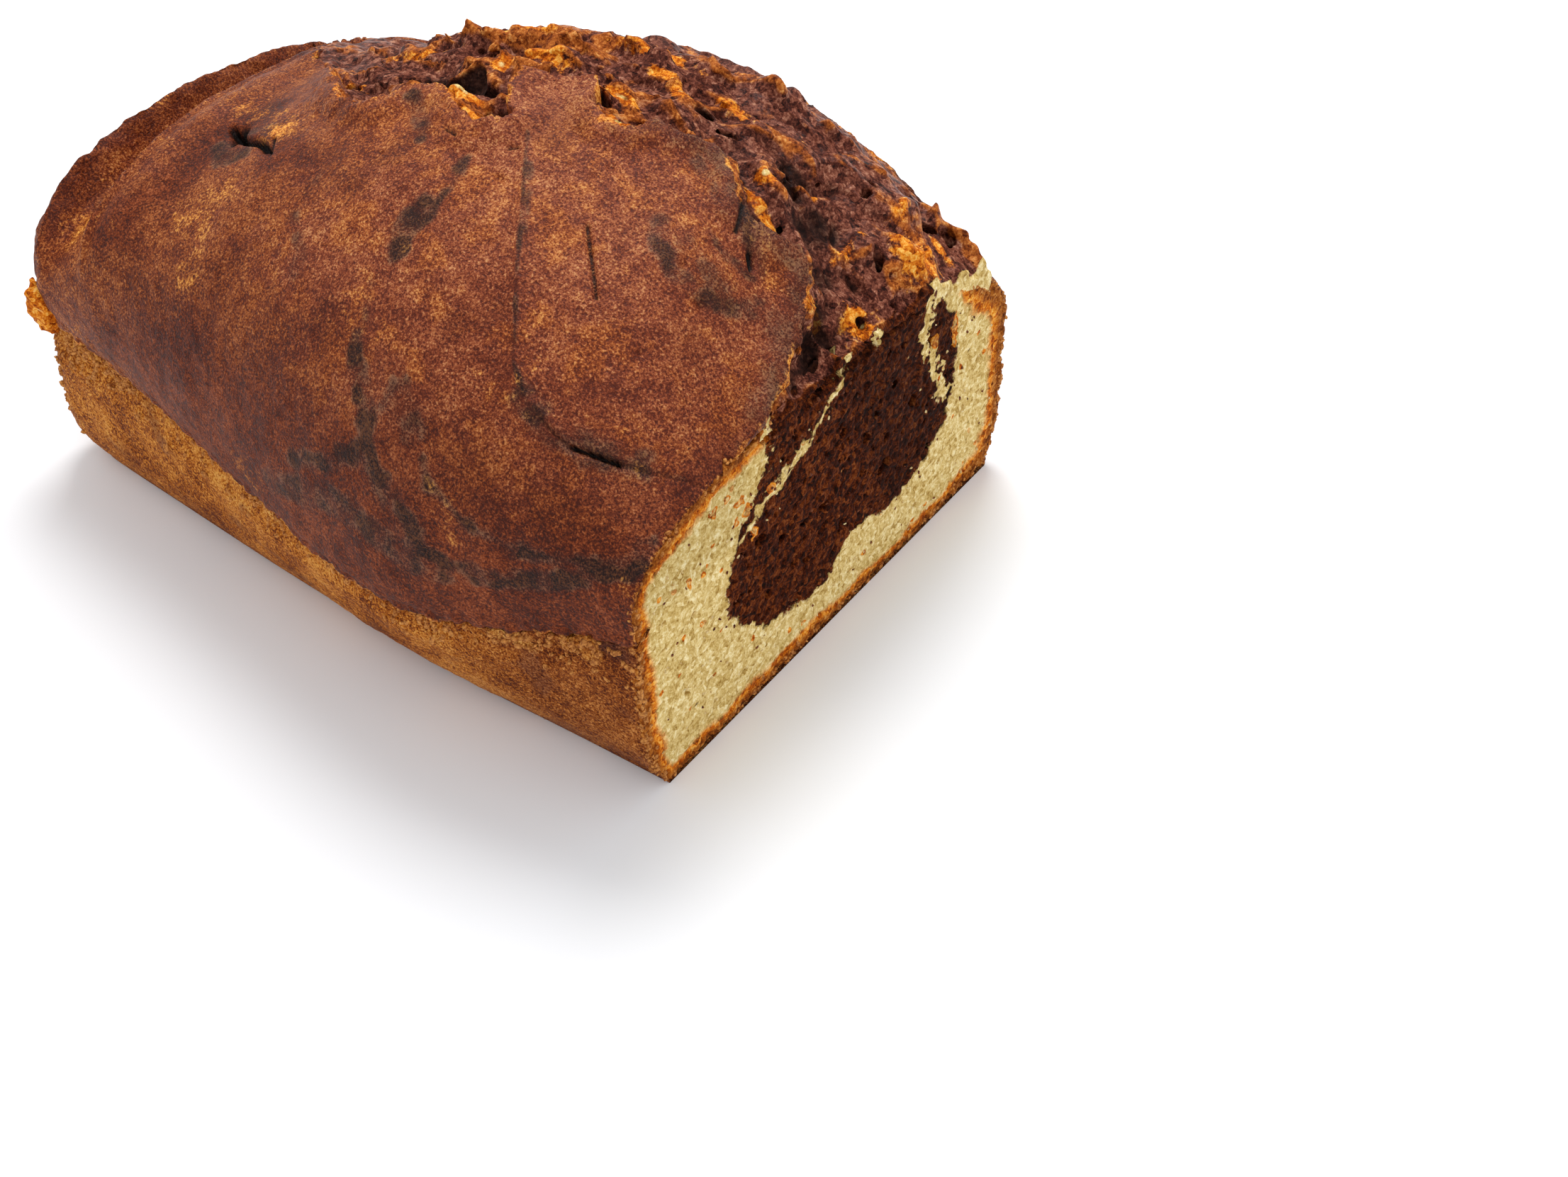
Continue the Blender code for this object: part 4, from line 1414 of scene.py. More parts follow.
@dataclass(frozen=True)
class TinCrust:
    """The walls and the base that the tin shaped, in one band round the loaf."""

    form: LoafForm
    noise: Noise
    lip_wander: Any
    spacing: float = 0.6
    end_columns: int = 210
    rows: int = 74
    tuck: float = 3.2
    tuck_rise: float = 2.4
    wall_rows: int = 60
    middle_row: int = 20
    shrink: float = 0.4
    crumb_size: float = 2.0
    worn: Spot = Spot(-26, 39, 6.0, 2.2, 0.5)

    def side(self, at: Stations, back: bool) -> Array:
        """One long wall from the foot up behind the dome's lip."""
        share = np.linspace(0.0, 1.0, 60)[None, :]
        y, z = self.form.wall(at.x[:, None], share, back)
        y, z = np.broadcast_arrays(y, z)
        wander = self.lip_wander(at.x, back)[:, None] * share ** 3
        sign = -1.0 if back else 1.0
        top_y = y[:, -1:] + sign * self.tuck
        top_z = z[:, -1:] + wander[:, -1:] + self.tuck_rise
        line = np.stack([np.concatenate([y, top_y], axis=1),
                         np.concatenate([z + wander, top_z], axis=1)], axis=-1)
        line = even_rows(line, self.rows)
        return self.form.settle(at, line[..., 0], line[..., 1])

    def end(self, front: Array, back: Array) -> Array:
        """The end wall, from the front corner's column to the back one's.

        Args:
            front: Last column of the front wall.
            back: Last column of the back wall.

        Returns:
            Columns of points.
        """
        across = np.linspace(0.0, 1.0, self.end_columns + 2)[1:-1]
        share = np.linspace(0.0, 1.0, self.rows)
        x = np.full(self.end_columns, -self.form.length)
        inset = self.form.corner_radius
        half = 0.5 * self.form.base_width
        scale = 1 - inset / (half + float(self.form.bulge.at(-self.form.length)))
        low_y, high_y = front[self.middle_row, 1], back[self.middle_row, 1]
        y_top = low_y + (high_y - low_y) * across
        unscaled = half + (y_top - half) / scale
        _, z_top = self.form.arch(x, self.form.arch_angle(x, unscaled))
        z_top = z_top * (1 - self.form.top_rounding / self.form.crown_height.at(x)) - 1.0
        columns = np.empty((self.end_columns, self.rows, 3))
        z = share[None, :] * z_top[:, None]
        for row in range(self.rows):
            front_y, back_y = (np.interp(z[:, row], wall[:self.wall_rows, 2],
                                         wall[:self.wall_rows, 1]) for wall in (front, back))
            columns[:, row, 1] = front_y + (back_y - front_y) * across
        columns[:, :, 2] = z
        foot = self.form.foot_tuck * np.maximum(1 - z / self.form.foot_height, 0.0) ** 2
        columns[:, :, 0] = -self.form.length + 0.25 + foot
        return columns

    def build(self) -> Draft:
        """The whole band, closed by the flat base."""
        at = self.form.stations(self.spacing, 14)
        front, back = self.side(at, False), self.side(at, True)
        grid = np.concatenate([front, self.end(front[-1], back[-1]), back[::-1]])
        middle = self.form.middle
        normal = grid_normals(grid, middle)
        flat = grid.reshape(-1, 3)
        rows = np.tile(np.linspace(0.0, 1.0, self.rows), len(grid))
        high = 0.4 * self.noise.smooth(flat, 22.0) + 0.2 * self.noise.smooth(flat, 7.0)
        high = high + 0.12 * self.noise.layered(flat, 2.4, 3, 0.6)
        crumbly = self.crumbly(flat, rows)
        cells, _ = self.noise.cells(flat, self.crumb_size)
        high = high + crumbly * (1.5 * (0.5 - cells) + 0.8 * self.noise.smooth(flat, 3.4))
        high = high - self.shrink
        high = high * smooth_step(0.0, 2.0, flat[:, 2])
        raised = flat + normal.reshape(-1, 3) * high[:, None]
        grid = raised.reshape(grid.shape)
        for wall in (grid, grid[::-1]):
            break_back(self.noise, wall, smooth_step(0.0, 2.0, wall[0][:, 2]))
        facing = middle + [60.0, -4.0, -8.0]
        first, last = np.stack(hem(grid[0], facing)), np.stack(hem(grid[-1], facing)[::-1])
        last[:, 0, 2] = 0.0
        first[:, 0, 2] = 0.0
        grid = np.concatenate([first, grid, last])
        rows = np.tile(np.linspace(0.0, 1.0, self.rows), len(grid))
        flat = grid.reshape(-1, 3)
        values = self.values(flat, rows)
        faces = grid_faces(len(grid), self.rows)
        foot = np.arange(len(HEM), len(grid) - len(HEM)) * self.rows
        flat = np.vstack([flat, [middle[0], middle[1], 0.0]])
        values = {name: np.append(value, value.mean()) for name, value in values.items()}
        base = np.column_stack([foot, np.roll(foot, -1), np.full(len(foot), len(flat) - 1)])
        draft = Draft(flat, faces, values, base)
        return draft.close(middle)

    def crumbly(self, flat: Array, rows: Array) -> Array:
        """Where the wall's top edge and the end's corner are broken into golden crumb."""
        x, y, z = flat.T
        top = smooth_step(0.68, 0.86, rows + 0.09 * self.noise.smooth(flat, 4.5))
        spread = 0.35 + 0.65 * smooth_step(-0.2, 0.4, self.noise.smooth(flat, 13.0))
        corner = hump(np.hypot(y - 1.0, x + self.form.length) / 4.5, 1.0)
        high = smooth_step(26.0, 34.0, z) * hump(y - 1.0, 6.0) * smooth_step(-158, -166, x)
        return np.clip(np.maximum(top * spread, np.maximum(0.8 * corner, high)), 0.0, 1.0)

    def values(self, flat: Array, rows: Array) -> dict[str, Array]:
        """Marks held at the wall's points."""
        x, y, z = flat.T
        crumbly = self.crumbly(flat, rows)
        bit = hump(np.hypot(y - 1.0, z - 37.0) / 6.5, 1.0) * smooth_step(-156, -166, x)
        gold = np.maximum(0.62 * crumbly, bit)
        gold = np.maximum(gold, 0.4 * smooth_step(-2.0, -0.4, x))
        gold = np.maximum(gold, self.worn.glow(x, z) * (y < 0))
        shade = 0.5 * smooth_step(0.1, 0.7, self.noise.layered(flat + 31.0, 12.0, 2))
        drip = hump(np.hypot((x + 9) / 9.0, (z - 41 + 0.3 * (x + 9)) / 3.6), 1.0) * (y < 0)
        corner = 0.6 * hump(np.hypot(y - 1.0, x + self.form.length) / 3.0, 1.0)
        # Darker brown in random clouds, along a drip, at the whole end's front corner and in the
        # lowest three millimetres.
        plum = np.maximum.reduce([shade, drip, corner * (z < 34), 0.4 * smooth_step(3.0, 0.0, z)])
        # Painted shade on the top rows, which tuck in under the dome's lip.
        under = smooth_step(0.9, 0.97, rows) * 0.5
        # Darker towards the cut and in the lowest six millimetres.
        darkened = smooth_step(-66.0, -8.0, x) + 0.5 * smooth_step(6.0, 0.0, z)
        bits = np.maximum(crumbly, 0.7 * smooth_step(-1.6, -0.4, x))
        return {"gold": gold, "plum": plum, "deep": under, "shade": np.clip(darkened, 0.0, 1.0),
                "golden_bits": bits * smooth_step(0.985, 0.95, rows) * smooth_step(0.6, 1.2, z)}


@dataclass(frozen=True)
class CutPattern:
    """Marbling of the cut face: chocolate, pale streaks, and the toasted rim."""

    noise: Noise
    chocolate: Outline = Outline((
        (25, 49), (23, 46), (22, 43), (20.5, 37), (19.5, 32), (22, 26.5), (26.5, 21.5), (32.5, 17),
        (39, 15), (46, 13), (52, 13), (57, 15.5), (60, 19), (65, 19.5), (72, 17), (80, 17),
        (89, 20), (96, 26), (98.5, 33), (99, 44), (97, 54), (90, 63), (86, 69), (84, 90), (30, 90),
        (34, 70), (33, 60), (28, 52)), True)
    streaks: tuple[tuple[Outline, float], ...] = (
        (Outline(((64, 69), (60, 66.5), (56.5, 63), (52, 58.5), (47.5, 56.3), (43, 53),
                  (39.5, 52.2), (36, 50.2), (32, 50), (28.5, 47), (24.5, 45))), 0.75),
        (Outline(((44, 55), (40, 53), (35, 51), (30, 49))), 0.9),
        (Outline(((94, 64), (88, 61), (85, 55), (89, 47), (93, 40), (95, 34))), 1.5),
        (Outline(((104, 46), (104.5, 38), (103, 31))), 2.2),
        (Outline(((70, 64), (66, 70), (62, 74))), 0.8),
        (Outline(((33, 60), (27, 63), (20, 64))), 1.4),
    )
    brown: tuple[Spot, ...] = (
        Spot(17, 58.5, 1.5, 1.1, 1.0), Spot(24.5, 55.5, 1.6, 1.3, 1.0),
        Spot(26.5, 52, 1.6, 1.6, 1.0),
        Spot(23, 51.5, 1.1, 1.5, 1.0), Spot(20.5, 59, 1.0, 1.0, 1.0), Spot(9.2, 47, 0.7, 1.3, 1.0),
        Spot(16, 51, 0.7, 0.5, 1.0), Spot(14.5, 47, 0.5, 0.6, 1.0), Spot(5, 26, 0.7, 0.6, 1.0),
        Spot(15.5, 17, 0.9, 0.5, 1.0), Spot(45, 7, 0.9, 0.6, 1.0), Spot(98, 49, 1.2, 5.0, 1.0),
        Spot(90, 51, 1.2, 2.0, 1.0), Spot(34, 52, 1.4, 1.0, 1.0), Spot(29, 44, 1.5, 1.5, 1.0),
        Spot(12, 34, 0.5, 0.6, 1.0), Spot(8, 14, 0.6, 0.5, 1.0), Spot(62, 9, 0.6, 0.5, 1.0))
    hollows: tuple[Spot, ...] = (
        Spot(27, 67.5, 3.2, 1.2, 4.0), Spot(33, 65, 3.0, 1.1, 4.0), Spot(31, 41, 1.5, 1.3, 3.0),
        Spot(38, 36, 1.3, 1.2, 3.0), Spot(52, 34, 1.6, 1.3, 3.0), Spot(66, 42, 1.2, 1.5, 3.0),
        Spot(74, 30, 1.4, 1.0, 3.0), Spot(58, 49, 1.0, 1.1, 2.5), Spot(83, 40, 1.3, 1.6, 3.0),
        Spot(46, 24, 0.9, 0.9, 2.2), Spot(10, 38, 0.9, 0.7, 1.8), Spot(7, 20, 0.8, 0.9, 1.8),
        Spot(25, 10, 0.9, 0.7, 1.8), Spot(104, 24, 1.0, 0.9, 2.0), Spot(86, 9, 0.9, 0.7, 1.8))

    def cocoa(self, y: Array, z: Array) -> Array:
        """How deep in chocolate each place on the cut is, negative in vanilla."""
        flat = in_plane(y, z)
        warp_y = y + 1.1 * self.noise.smooth(flat, 5.0)
        warp_z = z + 1.1 * self.noise.smooth(flat + 40.0, 5.0)
        deep = self.chocolate.depth(warp_y, warp_z)
        frayed = 1.0 + 1.3 * self.noise.smooth(flat + 70.0, 2.4) + self.noise.smooth(flat, 1.1)
        for line, width in self.streaks:
            deep = np.minimum(deep, line.distance(warp_y, warp_z) - width * frayed)
        return deep

    def bits(self, y: Array, z: Array) -> Array:
        """Toasted bits in the vanilla crumb: above 0 inside one."""
        flat = in_plane(y, z)
        warp = self.noise.smooth(flat + 20.0, 1.8) * 0.7
        return np.maximum.reduce([1.0 - mark.reach(y + warp, z - warp) for mark in self.brown])


def section_outline(form: LoafForm, x: float) -> Outline:
    """Closed outline of the loaf over one station."""
    share = np.linspace(0.0, 1.0, 24)
    at = np.full(24, x)
    front_y, front_z = form.wall(at, share, False)
    back_y, back_z = form.wall(at, share, True)
    angle = np.linspace(0.0, math.pi, 160)
    arch_y, arch_z = form.arch(np.full(160, x), angle)
    y = np.concatenate([front_y, arch_y, back_y[::-1]])
    z = np.concatenate([front_z, arch_z, back_z[::-1]])
    return Outline(tuple(zip(y.tolist(), z.tolist())), True)


@dataclass(frozen=True)
class CutFace:
    """The open crumb of the cut, with its pores, over a lattice behind the face."""

    form: LoafForm
    noise: Noise
    pattern: CutPattern
    burst: BurstMap
    step: float = 0.37
    layers: int = 13
    margin: float = 0.4
    knife_gap: float = 0.02
    inset: float = 0.35
    below_tear: float = 2.0
    grain_size: float = 1.5
    pore_size: float = 3.1
    small_pore_size: float = 1.45
    heart: tuple[float, float] = (-9.0, 30.0)

    def plane(self, y: Array, z: Array) -> Array:
        """How far the cut crumb stands back from the cut's plane."""
        flat = in_plane(y, z)
        back = 0.3 + 0.45 * np.abs(self.noise.smooth(flat, 11.0))
        return back.reshape(np.shape(y))

    def roughen(self, places: Array, cocoa: Array) -> Array:
        """Grain and pores of the crumb: what is added to or taken from its solid.

        Args:
            places: Places in millimetres.
            cocoa: How deep in chocolate each is.

        Returns:
            Millimetres added to the solid, and a cap that pores put on it, in two rows.
        """
        dark = smooth_step(-0.5, 0.5, cocoa)
        grains, _ = self.noise.cells(places, self.grain_size)
        add = (0.42 + 0.2 * dark) * (0.55 - grains) * 1.4
        add = add + 0.34 * self.noise.smooth(places, 2.4) + 0.14 * self.noise.smooth(places, 0.9)
        holes, number = self.noise.cells(places + 9.0, self.pore_size)
        size = 0.38 * number ** 12 - 0.1
        size = size + (1.1 * (0.02 + 0.34 * number ** 3) - size) * dark
        cap = (holes - size) * self.pore_size
        small, number = self.noise.cells(places + 33.0, self.small_pore_size)
        size = 0.36 * number ** 12 - 0.1
        size = size + (0.08 + 0.3 * number ** 4 - size) * dark
        cap = np.minimum(cap, (small - size) * self.small_pore_size)
        return np.stack([add, cap])

    def roof(self, station: float, y: Array) -> Array:
        """Height that the slab may reach: close under the skin, and lower under the tear."""
        x = np.full(len(y), station)
        depth = self.burst.depth(x, y)
        open_floor = self.burst.floor(x, y, np.maximum(depth, 1.2)) - self.below_tear
        _, dome = self.form.arch(x, self.form.arch_angle(x, y))
        return dome - self.inset + (open_floor + self.inset) * smooth_step(-0.5, 1.0, depth)

    def build(self) -> list[Draft]:
        """The crumb slab of the cut, in two parts."""
        outline = section_outline(self.form, 0.0)
        corners = np.array(outline.points)
        low, high = corners.min(axis=0) - self.margin, corners.max(axis=0) + self.margin
        y = np.arange(low[0], high[0], self.step)
        z = np.arange(low[1], high[1], self.step)
        x = -np.arange(self.layers)[::-1] * self.step - self.knife_gap
        grid_y, grid_z = np.meshgrid(y, z, indexing="ij")
        edge = outline.depth(grid_y, grid_z) - self.inset
        back = self.plane(grid_y, grid_z)
        flat_y, flat_z = grid_y.ravel(), grid_z.ravel()
        cocoa = self.pattern.cocoa(flat_y, flat_z)
        solid = np.empty((len(x), len(y), len(z)), dtype=np.float32)
        for layer, station in enumerate(x):
            body = (-station - back).ravel()
            places = np.column_stack([np.full(len(flat_y), station), flat_y, flat_z])
            add, cap = self.roughen(places, cocoa)
            body = np.minimum(body + add, cap + 0.25 * (np.abs(station) > 3.5))
            for mark in self.pattern.hollows:
                reach = mark.reach(flat_y, flat_z) + 0.25 * self.noise.smooth(places, 1.6)
                dug = np.hypot(reach, (station + 0.3) / mark.depth) - 1.0
                body = np.minimum(body, dug * min(mark.along, mark.across) * 0.9)
            inner = np.minimum(edge, self.roof(station, y)[:, None] - grid_z)
            body = np.minimum(body, inner.ravel() + 0.5 * add)
            solid[layer] = body.reshape(grid_y.shape)
        solid[-1] = np.minimum(solid[-1], -0.05)
        points, faces = surface_net(solid)
        places = np.column_stack([
            np.interp(points[:, 0], np.arange(len(x)), x),
            np.interp(points[:, 1], np.arange(len(y)), y),
            np.interp(points[:, 2], np.arange(len(z)), z)])
        draft = Draft(places, faces, self.values(places, outline)).drop_small(LEAST_POINTS)
        middle = np.array([self.heart[0], 0.5 * self.form.base_width, self.heart[1]])
        return [part.close(middle) for part in draft.split(1, middle[1])]

    def values(self, places: Array, outline: Outline) -> dict[str, Array]:
        """Marks held at the crumb's points."""
        x, y, z = places.T
        rim = outline.depth(y, z)
        torn = smooth_step(30.0, 38.0, y) * smooth_step(104.0, 96.0, y) * smooth_step(50.0, 56.0, z)
        wander = 1.0 + 0.35 * self.noise.smooth(places, 9.0)
        toast = smooth_step(6.2, 0.8, rim * wander * (1 - 0.35 * (y > 100))) * (1 - torn) * 1.3
        patch = smooth_step(0.4, 0.7, self.noise.layered(places, 9.0, 2)) * hump(rim - 6.0, 4.0)
        gold = np.where(y < 20, 0.25 * patch, 0.0) - 0.4
        gold = gold + 1.2 * smooth_step(-0.2, 0.3, self.pattern.bits(y, z))
        cocoa = self.pattern.cocoa(y, z)
        # Painted shade in the pores, darker the further behind the cut's plane.
        deep = smooth_step(1.6, 3.4, -x) * (0.4 + 0.6 * smooth_step(-1.5, 0.5, cocoa))
        # Painted shadow over the upper part of the cut face: on the chocolate towards the back and
        # on the vanilla high at the front.
        upper_shadow = 0.42 * smooth_step(-0.5, 0.5, cocoa) * smooth_step(56.0, 68.0, y + 0.4 * (z - 45.0))
        upper_shadow = np.maximum(upper_shadow, 0.24 * smooth_step(42.0, 49.0, z) * smooth_step(34.0, 24.0, y))
        deep = np.maximum(deep, upper_shadow)
        golden_bits = hump(rim, 1.8) * (1 - torn) * smooth_step(-2.2, -1.4, x)
        inside = smooth_step(1.0, 2.5, rim) * smooth_step(-2.2, -1.4, x)
        pale_bits = inside * (0.35 + 0.65 * hump(cocoa, 3.0)) * (cocoa < 6.0)
        cocoa_bits = inside * (0.12 + 0.88 * hump(cocoa, 2.6))
        return {"cocoa": cocoa, "toast": toast, "gold": gold, "bake": 0.0 * x, "deep": deep,
                "tan": 0.0 * x, "gloss": 0.0 * x, "pale_bits": pale_bits,
                "cocoa_bits": cocoa_bits, "golden_bits": golden_bits}


@dataclass(frozen=True)
class BurstCrumb:
    """The torn crumb along the top, over a lattice that follows the dome."""

    form: LoafForm
    noise: Noise
    burst: BurstMap
    face: CutFace
    step: float = 0.45
    rows: int = 190
    low: float = -10.0
    high: float = 5.0
    start: float = -153.0
    past_edges: tuple[float, float] = (11.0, 14.0)
    rough_band: float = 7.0
    grain_size: float = 1.9
    pore_size: float = 4.2
    split_x: float = -62.0
    heart: tuple[float, float, float] = (-70.0, 72.0, 60.0)

    def lattice(self) -> tuple[Array, Array]:
        """Places of the smooth dome under the lattice, and its outward directions."""
        x = np.arange(1.0, self.start, -self.step)
        first = self.form.arch_angle(x, self.form.burst_front.at(x) - self.past_edges[0])
        last = self.form.arch_angle(x, self.form.burst_back.at(x) + self.past_edges[1])
        angle = first[:, None] + (last - first)[:, None] * np.linspace(0.0, 1.0, self.rows)
        y, z = self.form.arch(x[:, None], angle)
        ground = np.stack(np.broadcast_arrays(x[:, None], y, z), axis=-1)
        past = np.maximum(ground[..., 0], 0.0)
        ground[..., 2] -= past
        return ground, grid_normals(ground, self.form.middle)

    def build(self) -> list[Draft]:
        """The torn crumb, in two parts."""
        ground, normal = self.lattice()
        rise = np.arange(self.low, self.high, self.step)
        places = ground[:, :, None, :] + normal[:, :, None, :] * rise[None, None, :, None]
        shape = places.shape[:3]
        x, y = ground[..., 0], ground[..., 1]
        depth = self.burst.depth(x, y)
        level = self.burst.floor(x, y, depth)
        solid = (level[:, :, None] - rise[None, None, :]).astype(np.float32)
        band = (np.abs(solid) < self.rough_band) & (places[..., 0] > self.start - 1.0)
        spots = places[band].astype(np.float32)
        wide = np.broadcast_to(depth[:, :, None], shape)[band]
        above = np.broadcast_to(rise[None, None, :], shape)[band]
        solid[band] = self.tear(spots, wide, above, solid[band])
        back = self.face.plane(places[..., 1], places[..., 2])
        face = -self.face.knife_gap - back - places[..., 0]
        retreat = 0.8 * smooth_step(4.0, 6.5, level[:, :, None] - rise[None, None, :])
        close = places[..., 0] > -3.0
        grain = np.zeros(shape, dtype=np.float32)
        spots = places[close].astype(np.float32)
        grain[close] = self.face.roughen(spots, np.ones(len(spots)))[0]
        solid = np.minimum(solid, face + grain - retreat)
        points, faces = surface_net(solid)
        placed = self.place(points, ground, normal, rise)
        draft = Draft(placed, faces).drop_small(LEAST_POINTS)
        draft.values = self.values(draft.places)
        return [part.close(np.array(self.heart)) for part in draft.split(0, self.split_x)]

    def tear(self, spots: Array, depth: Array, above: Array, solid: Array) -> Array:
        """Solid with lumps, ledges, grain and pits torn into it.

        Args:
            spots: Places in millimetres.
            depth: How far inside the tear each is.
            above: Height over the smooth dome.
            solid: The smooth solid's value at each.

        Returns:
            The rough solid's values.
        """
        x, y, _ = spots.T
        rough = 1.0 - 0.72 * self.burst.bark(x, y)
        rough = rough * (0.35 + 0.65 * smooth_step(-2.0, 2.0, depth))
        warp = self.noise.stray(spots, 1.6, 6.0)
        long_lumps = self.noise.smooth(warp, (17.0, 8.0, 8.0))
        ledges = self.burst.ridged(spots)
        knobs = self.noise.smooth(warp + 61.0, 3.2)
        grains, _ = self.noise.cells(warp, self.grain_size)
        fine = self.noise.smooth(spots, 1.1)
        open_crumb = smooth_step(-0.2, 0.3, self.burst.gold(x, y))
        solid = solid + (0.3 + 0.7 * rough) * (1.5 * long_lumps + 1.35 * ledges)
        solid = solid + 0.6 * rough * knobs
        solid = solid + (0.16 + 0.24 * rough + 0.5 * open_crumb) * (0.5 - grains) + 0.12 * fine
        holes, number = self.noise.cells(warp + 5.0, self.pore_size)
        pores = (holes - (0.02 + 0.46 * number ** 3) * (0.45 + 0.55 * rough)) * self.pore_size
        solid = np.where(depth > -0.5, np.minimum(solid, pores), solid)
        for mark in self.burst.knolls:
            reach = mark.reach(warp[:, 0], warp[:, 1])
            solid = solid + (mark.depth + mark.sunk) * hump(0.9 * reach, 1.0) * (1.0 + 0.4 * knobs)
        for mark in self.burst.pits:
            reach = mark.reach(warp[:, 0], warp[:, 1])
            ball = np.hypot(reach, (above + 1.0) / mark.depth) - 1.0
            size = min(mark.along, mark.across, mark.depth)
            solid = np.minimum(solid, ball * size + 0.5 * (0.5 - grains))
        return solid

    def place(self, points: Array, ground: Array, normal: Array, rise: Array) -> Array:
        """Places of points given in lattice steps."""
        cell = np.minimum(points[:, :2].astype(int), np.array(ground.shape[:2]) - 2)
        part = points[:, :2] - cell
        height = np.interp(points[:, 2], np.arange(len(rise)), rise)[:, None]
        total = np.zeros((len(points), 3))
        for a, b in itertools.product((0, 1), repeat=2):
            weight = (part[:, 0] if a else 1 - part[:, 0]) * (part[:, 1] if b else 1 - part[:, 1])
            index = (cell[:, 0] + a, cell[:, 1] + b)
            total += weight[:, None] * (ground[index] + normal[index] * height)
        return total

    def values(self, places: Array) -> dict[str, Array]:
        """Marks held at the torn crumb's points."""
        x, y, z = places.T
        _, dome = self.form.arch(x, self.form.arch_angle(x, y))
        depth = self.burst.depth(x, y)
        lifted = z - dome - self.burst.floor(x, y, depth)
        crest = self.burst.ridged(places)
        face = smooth_step(-1.8, -0.9, x)
        gold = self.burst.gold(x, y) * (1 - face) - 0.6 * face
        cocoa = np.where(face > 0.5, self.face.pattern.cocoa(y, z), 3.0)
        bake = 1.0 - face
        # Painted shade deep in the tear's hollows and in the shadow of the pits' caverns.
        deep = smooth_step(-0.8, -3.6, lifted) * (1 - face) * smooth_step(-0.5, 1.5, depth)
        murk = self.burst.murk(x, y) * smooth_step(0.8, -1.2, lifted) * (1 - face)
        deep = np.maximum(deep, 0.88 * np.clip(1.5 * murk, 0.0, 1.0))
        # Tan rather than dark baked crust: on fold crests and on crumb raised above the floor,
        # partly a painted highlight, and also in broad random streaks and near the tear's edge.
        tan = 0.55 * crest + 0.22 * lifted
        tan = tan + 0.7 * self.noise.smooth(places + 70.0, (22.0, 9.0, 9.0))
        tan = tan + 0.5 * smooth_step(2.5, 0.0, depth) - 0.45
        return {"cocoa": cocoa, "toast": 0.0 * x, "gold": gold, "bake": bake, "deep": deep,
                "tan": tan, "gloss": self.burst.bark(x, y)}


@dataclass(frozen=True)
class CornerBit:
    """The lump of golden crumb that broke out at the whole end's front corner."""

    noise: Noise
    middle: tuple[float, float, float] = (-168.3, 0.2, 40.5)
    reach: tuple[float, float, float] = (4.6, 3.6, 6.2)
    step: float = 0.45
    margin: float = 2.5
    grain_size: float = 1.7
    least_points: int = 500

    def build(self) -> Draft:
        """The lump."""
        middle, reach = np.array(self.middle), np.array(self.reach)
        count = np.ceil((reach + self.margin) / self.step).astype(int)
        axes = [np.arange(-n, n + 1) * self.step for n in count]
        offset = np.stack(np.meshgrid(*axes, indexing="ij"), axis=-1).reshape(-1, 3)
        places = offset + middle
        grains, _ = self.noise.cells(places, self.grain_size)
        solid = (1.0 - np.linalg.norm(offset / reach, axis=1)) * reach.min()
        solid = solid + 0.9 * self.noise.smooth(places, 3.6) + 1.2 * (0.5 - grains)
        points, faces = surface_net(solid.reshape(2 * count + 1))
        places = middle + (points - count) * self.step
        held = np.ones(len(places))
        values = {"cocoa": -3.0 * held, "gold": 0.62 * held}
        for name in ("bake", "toast", "tan", "gloss", "deep"):
            values[name] = 0.0 * held
        return Draft(places, faces, values).drop_small(self.least_points).close(middle)


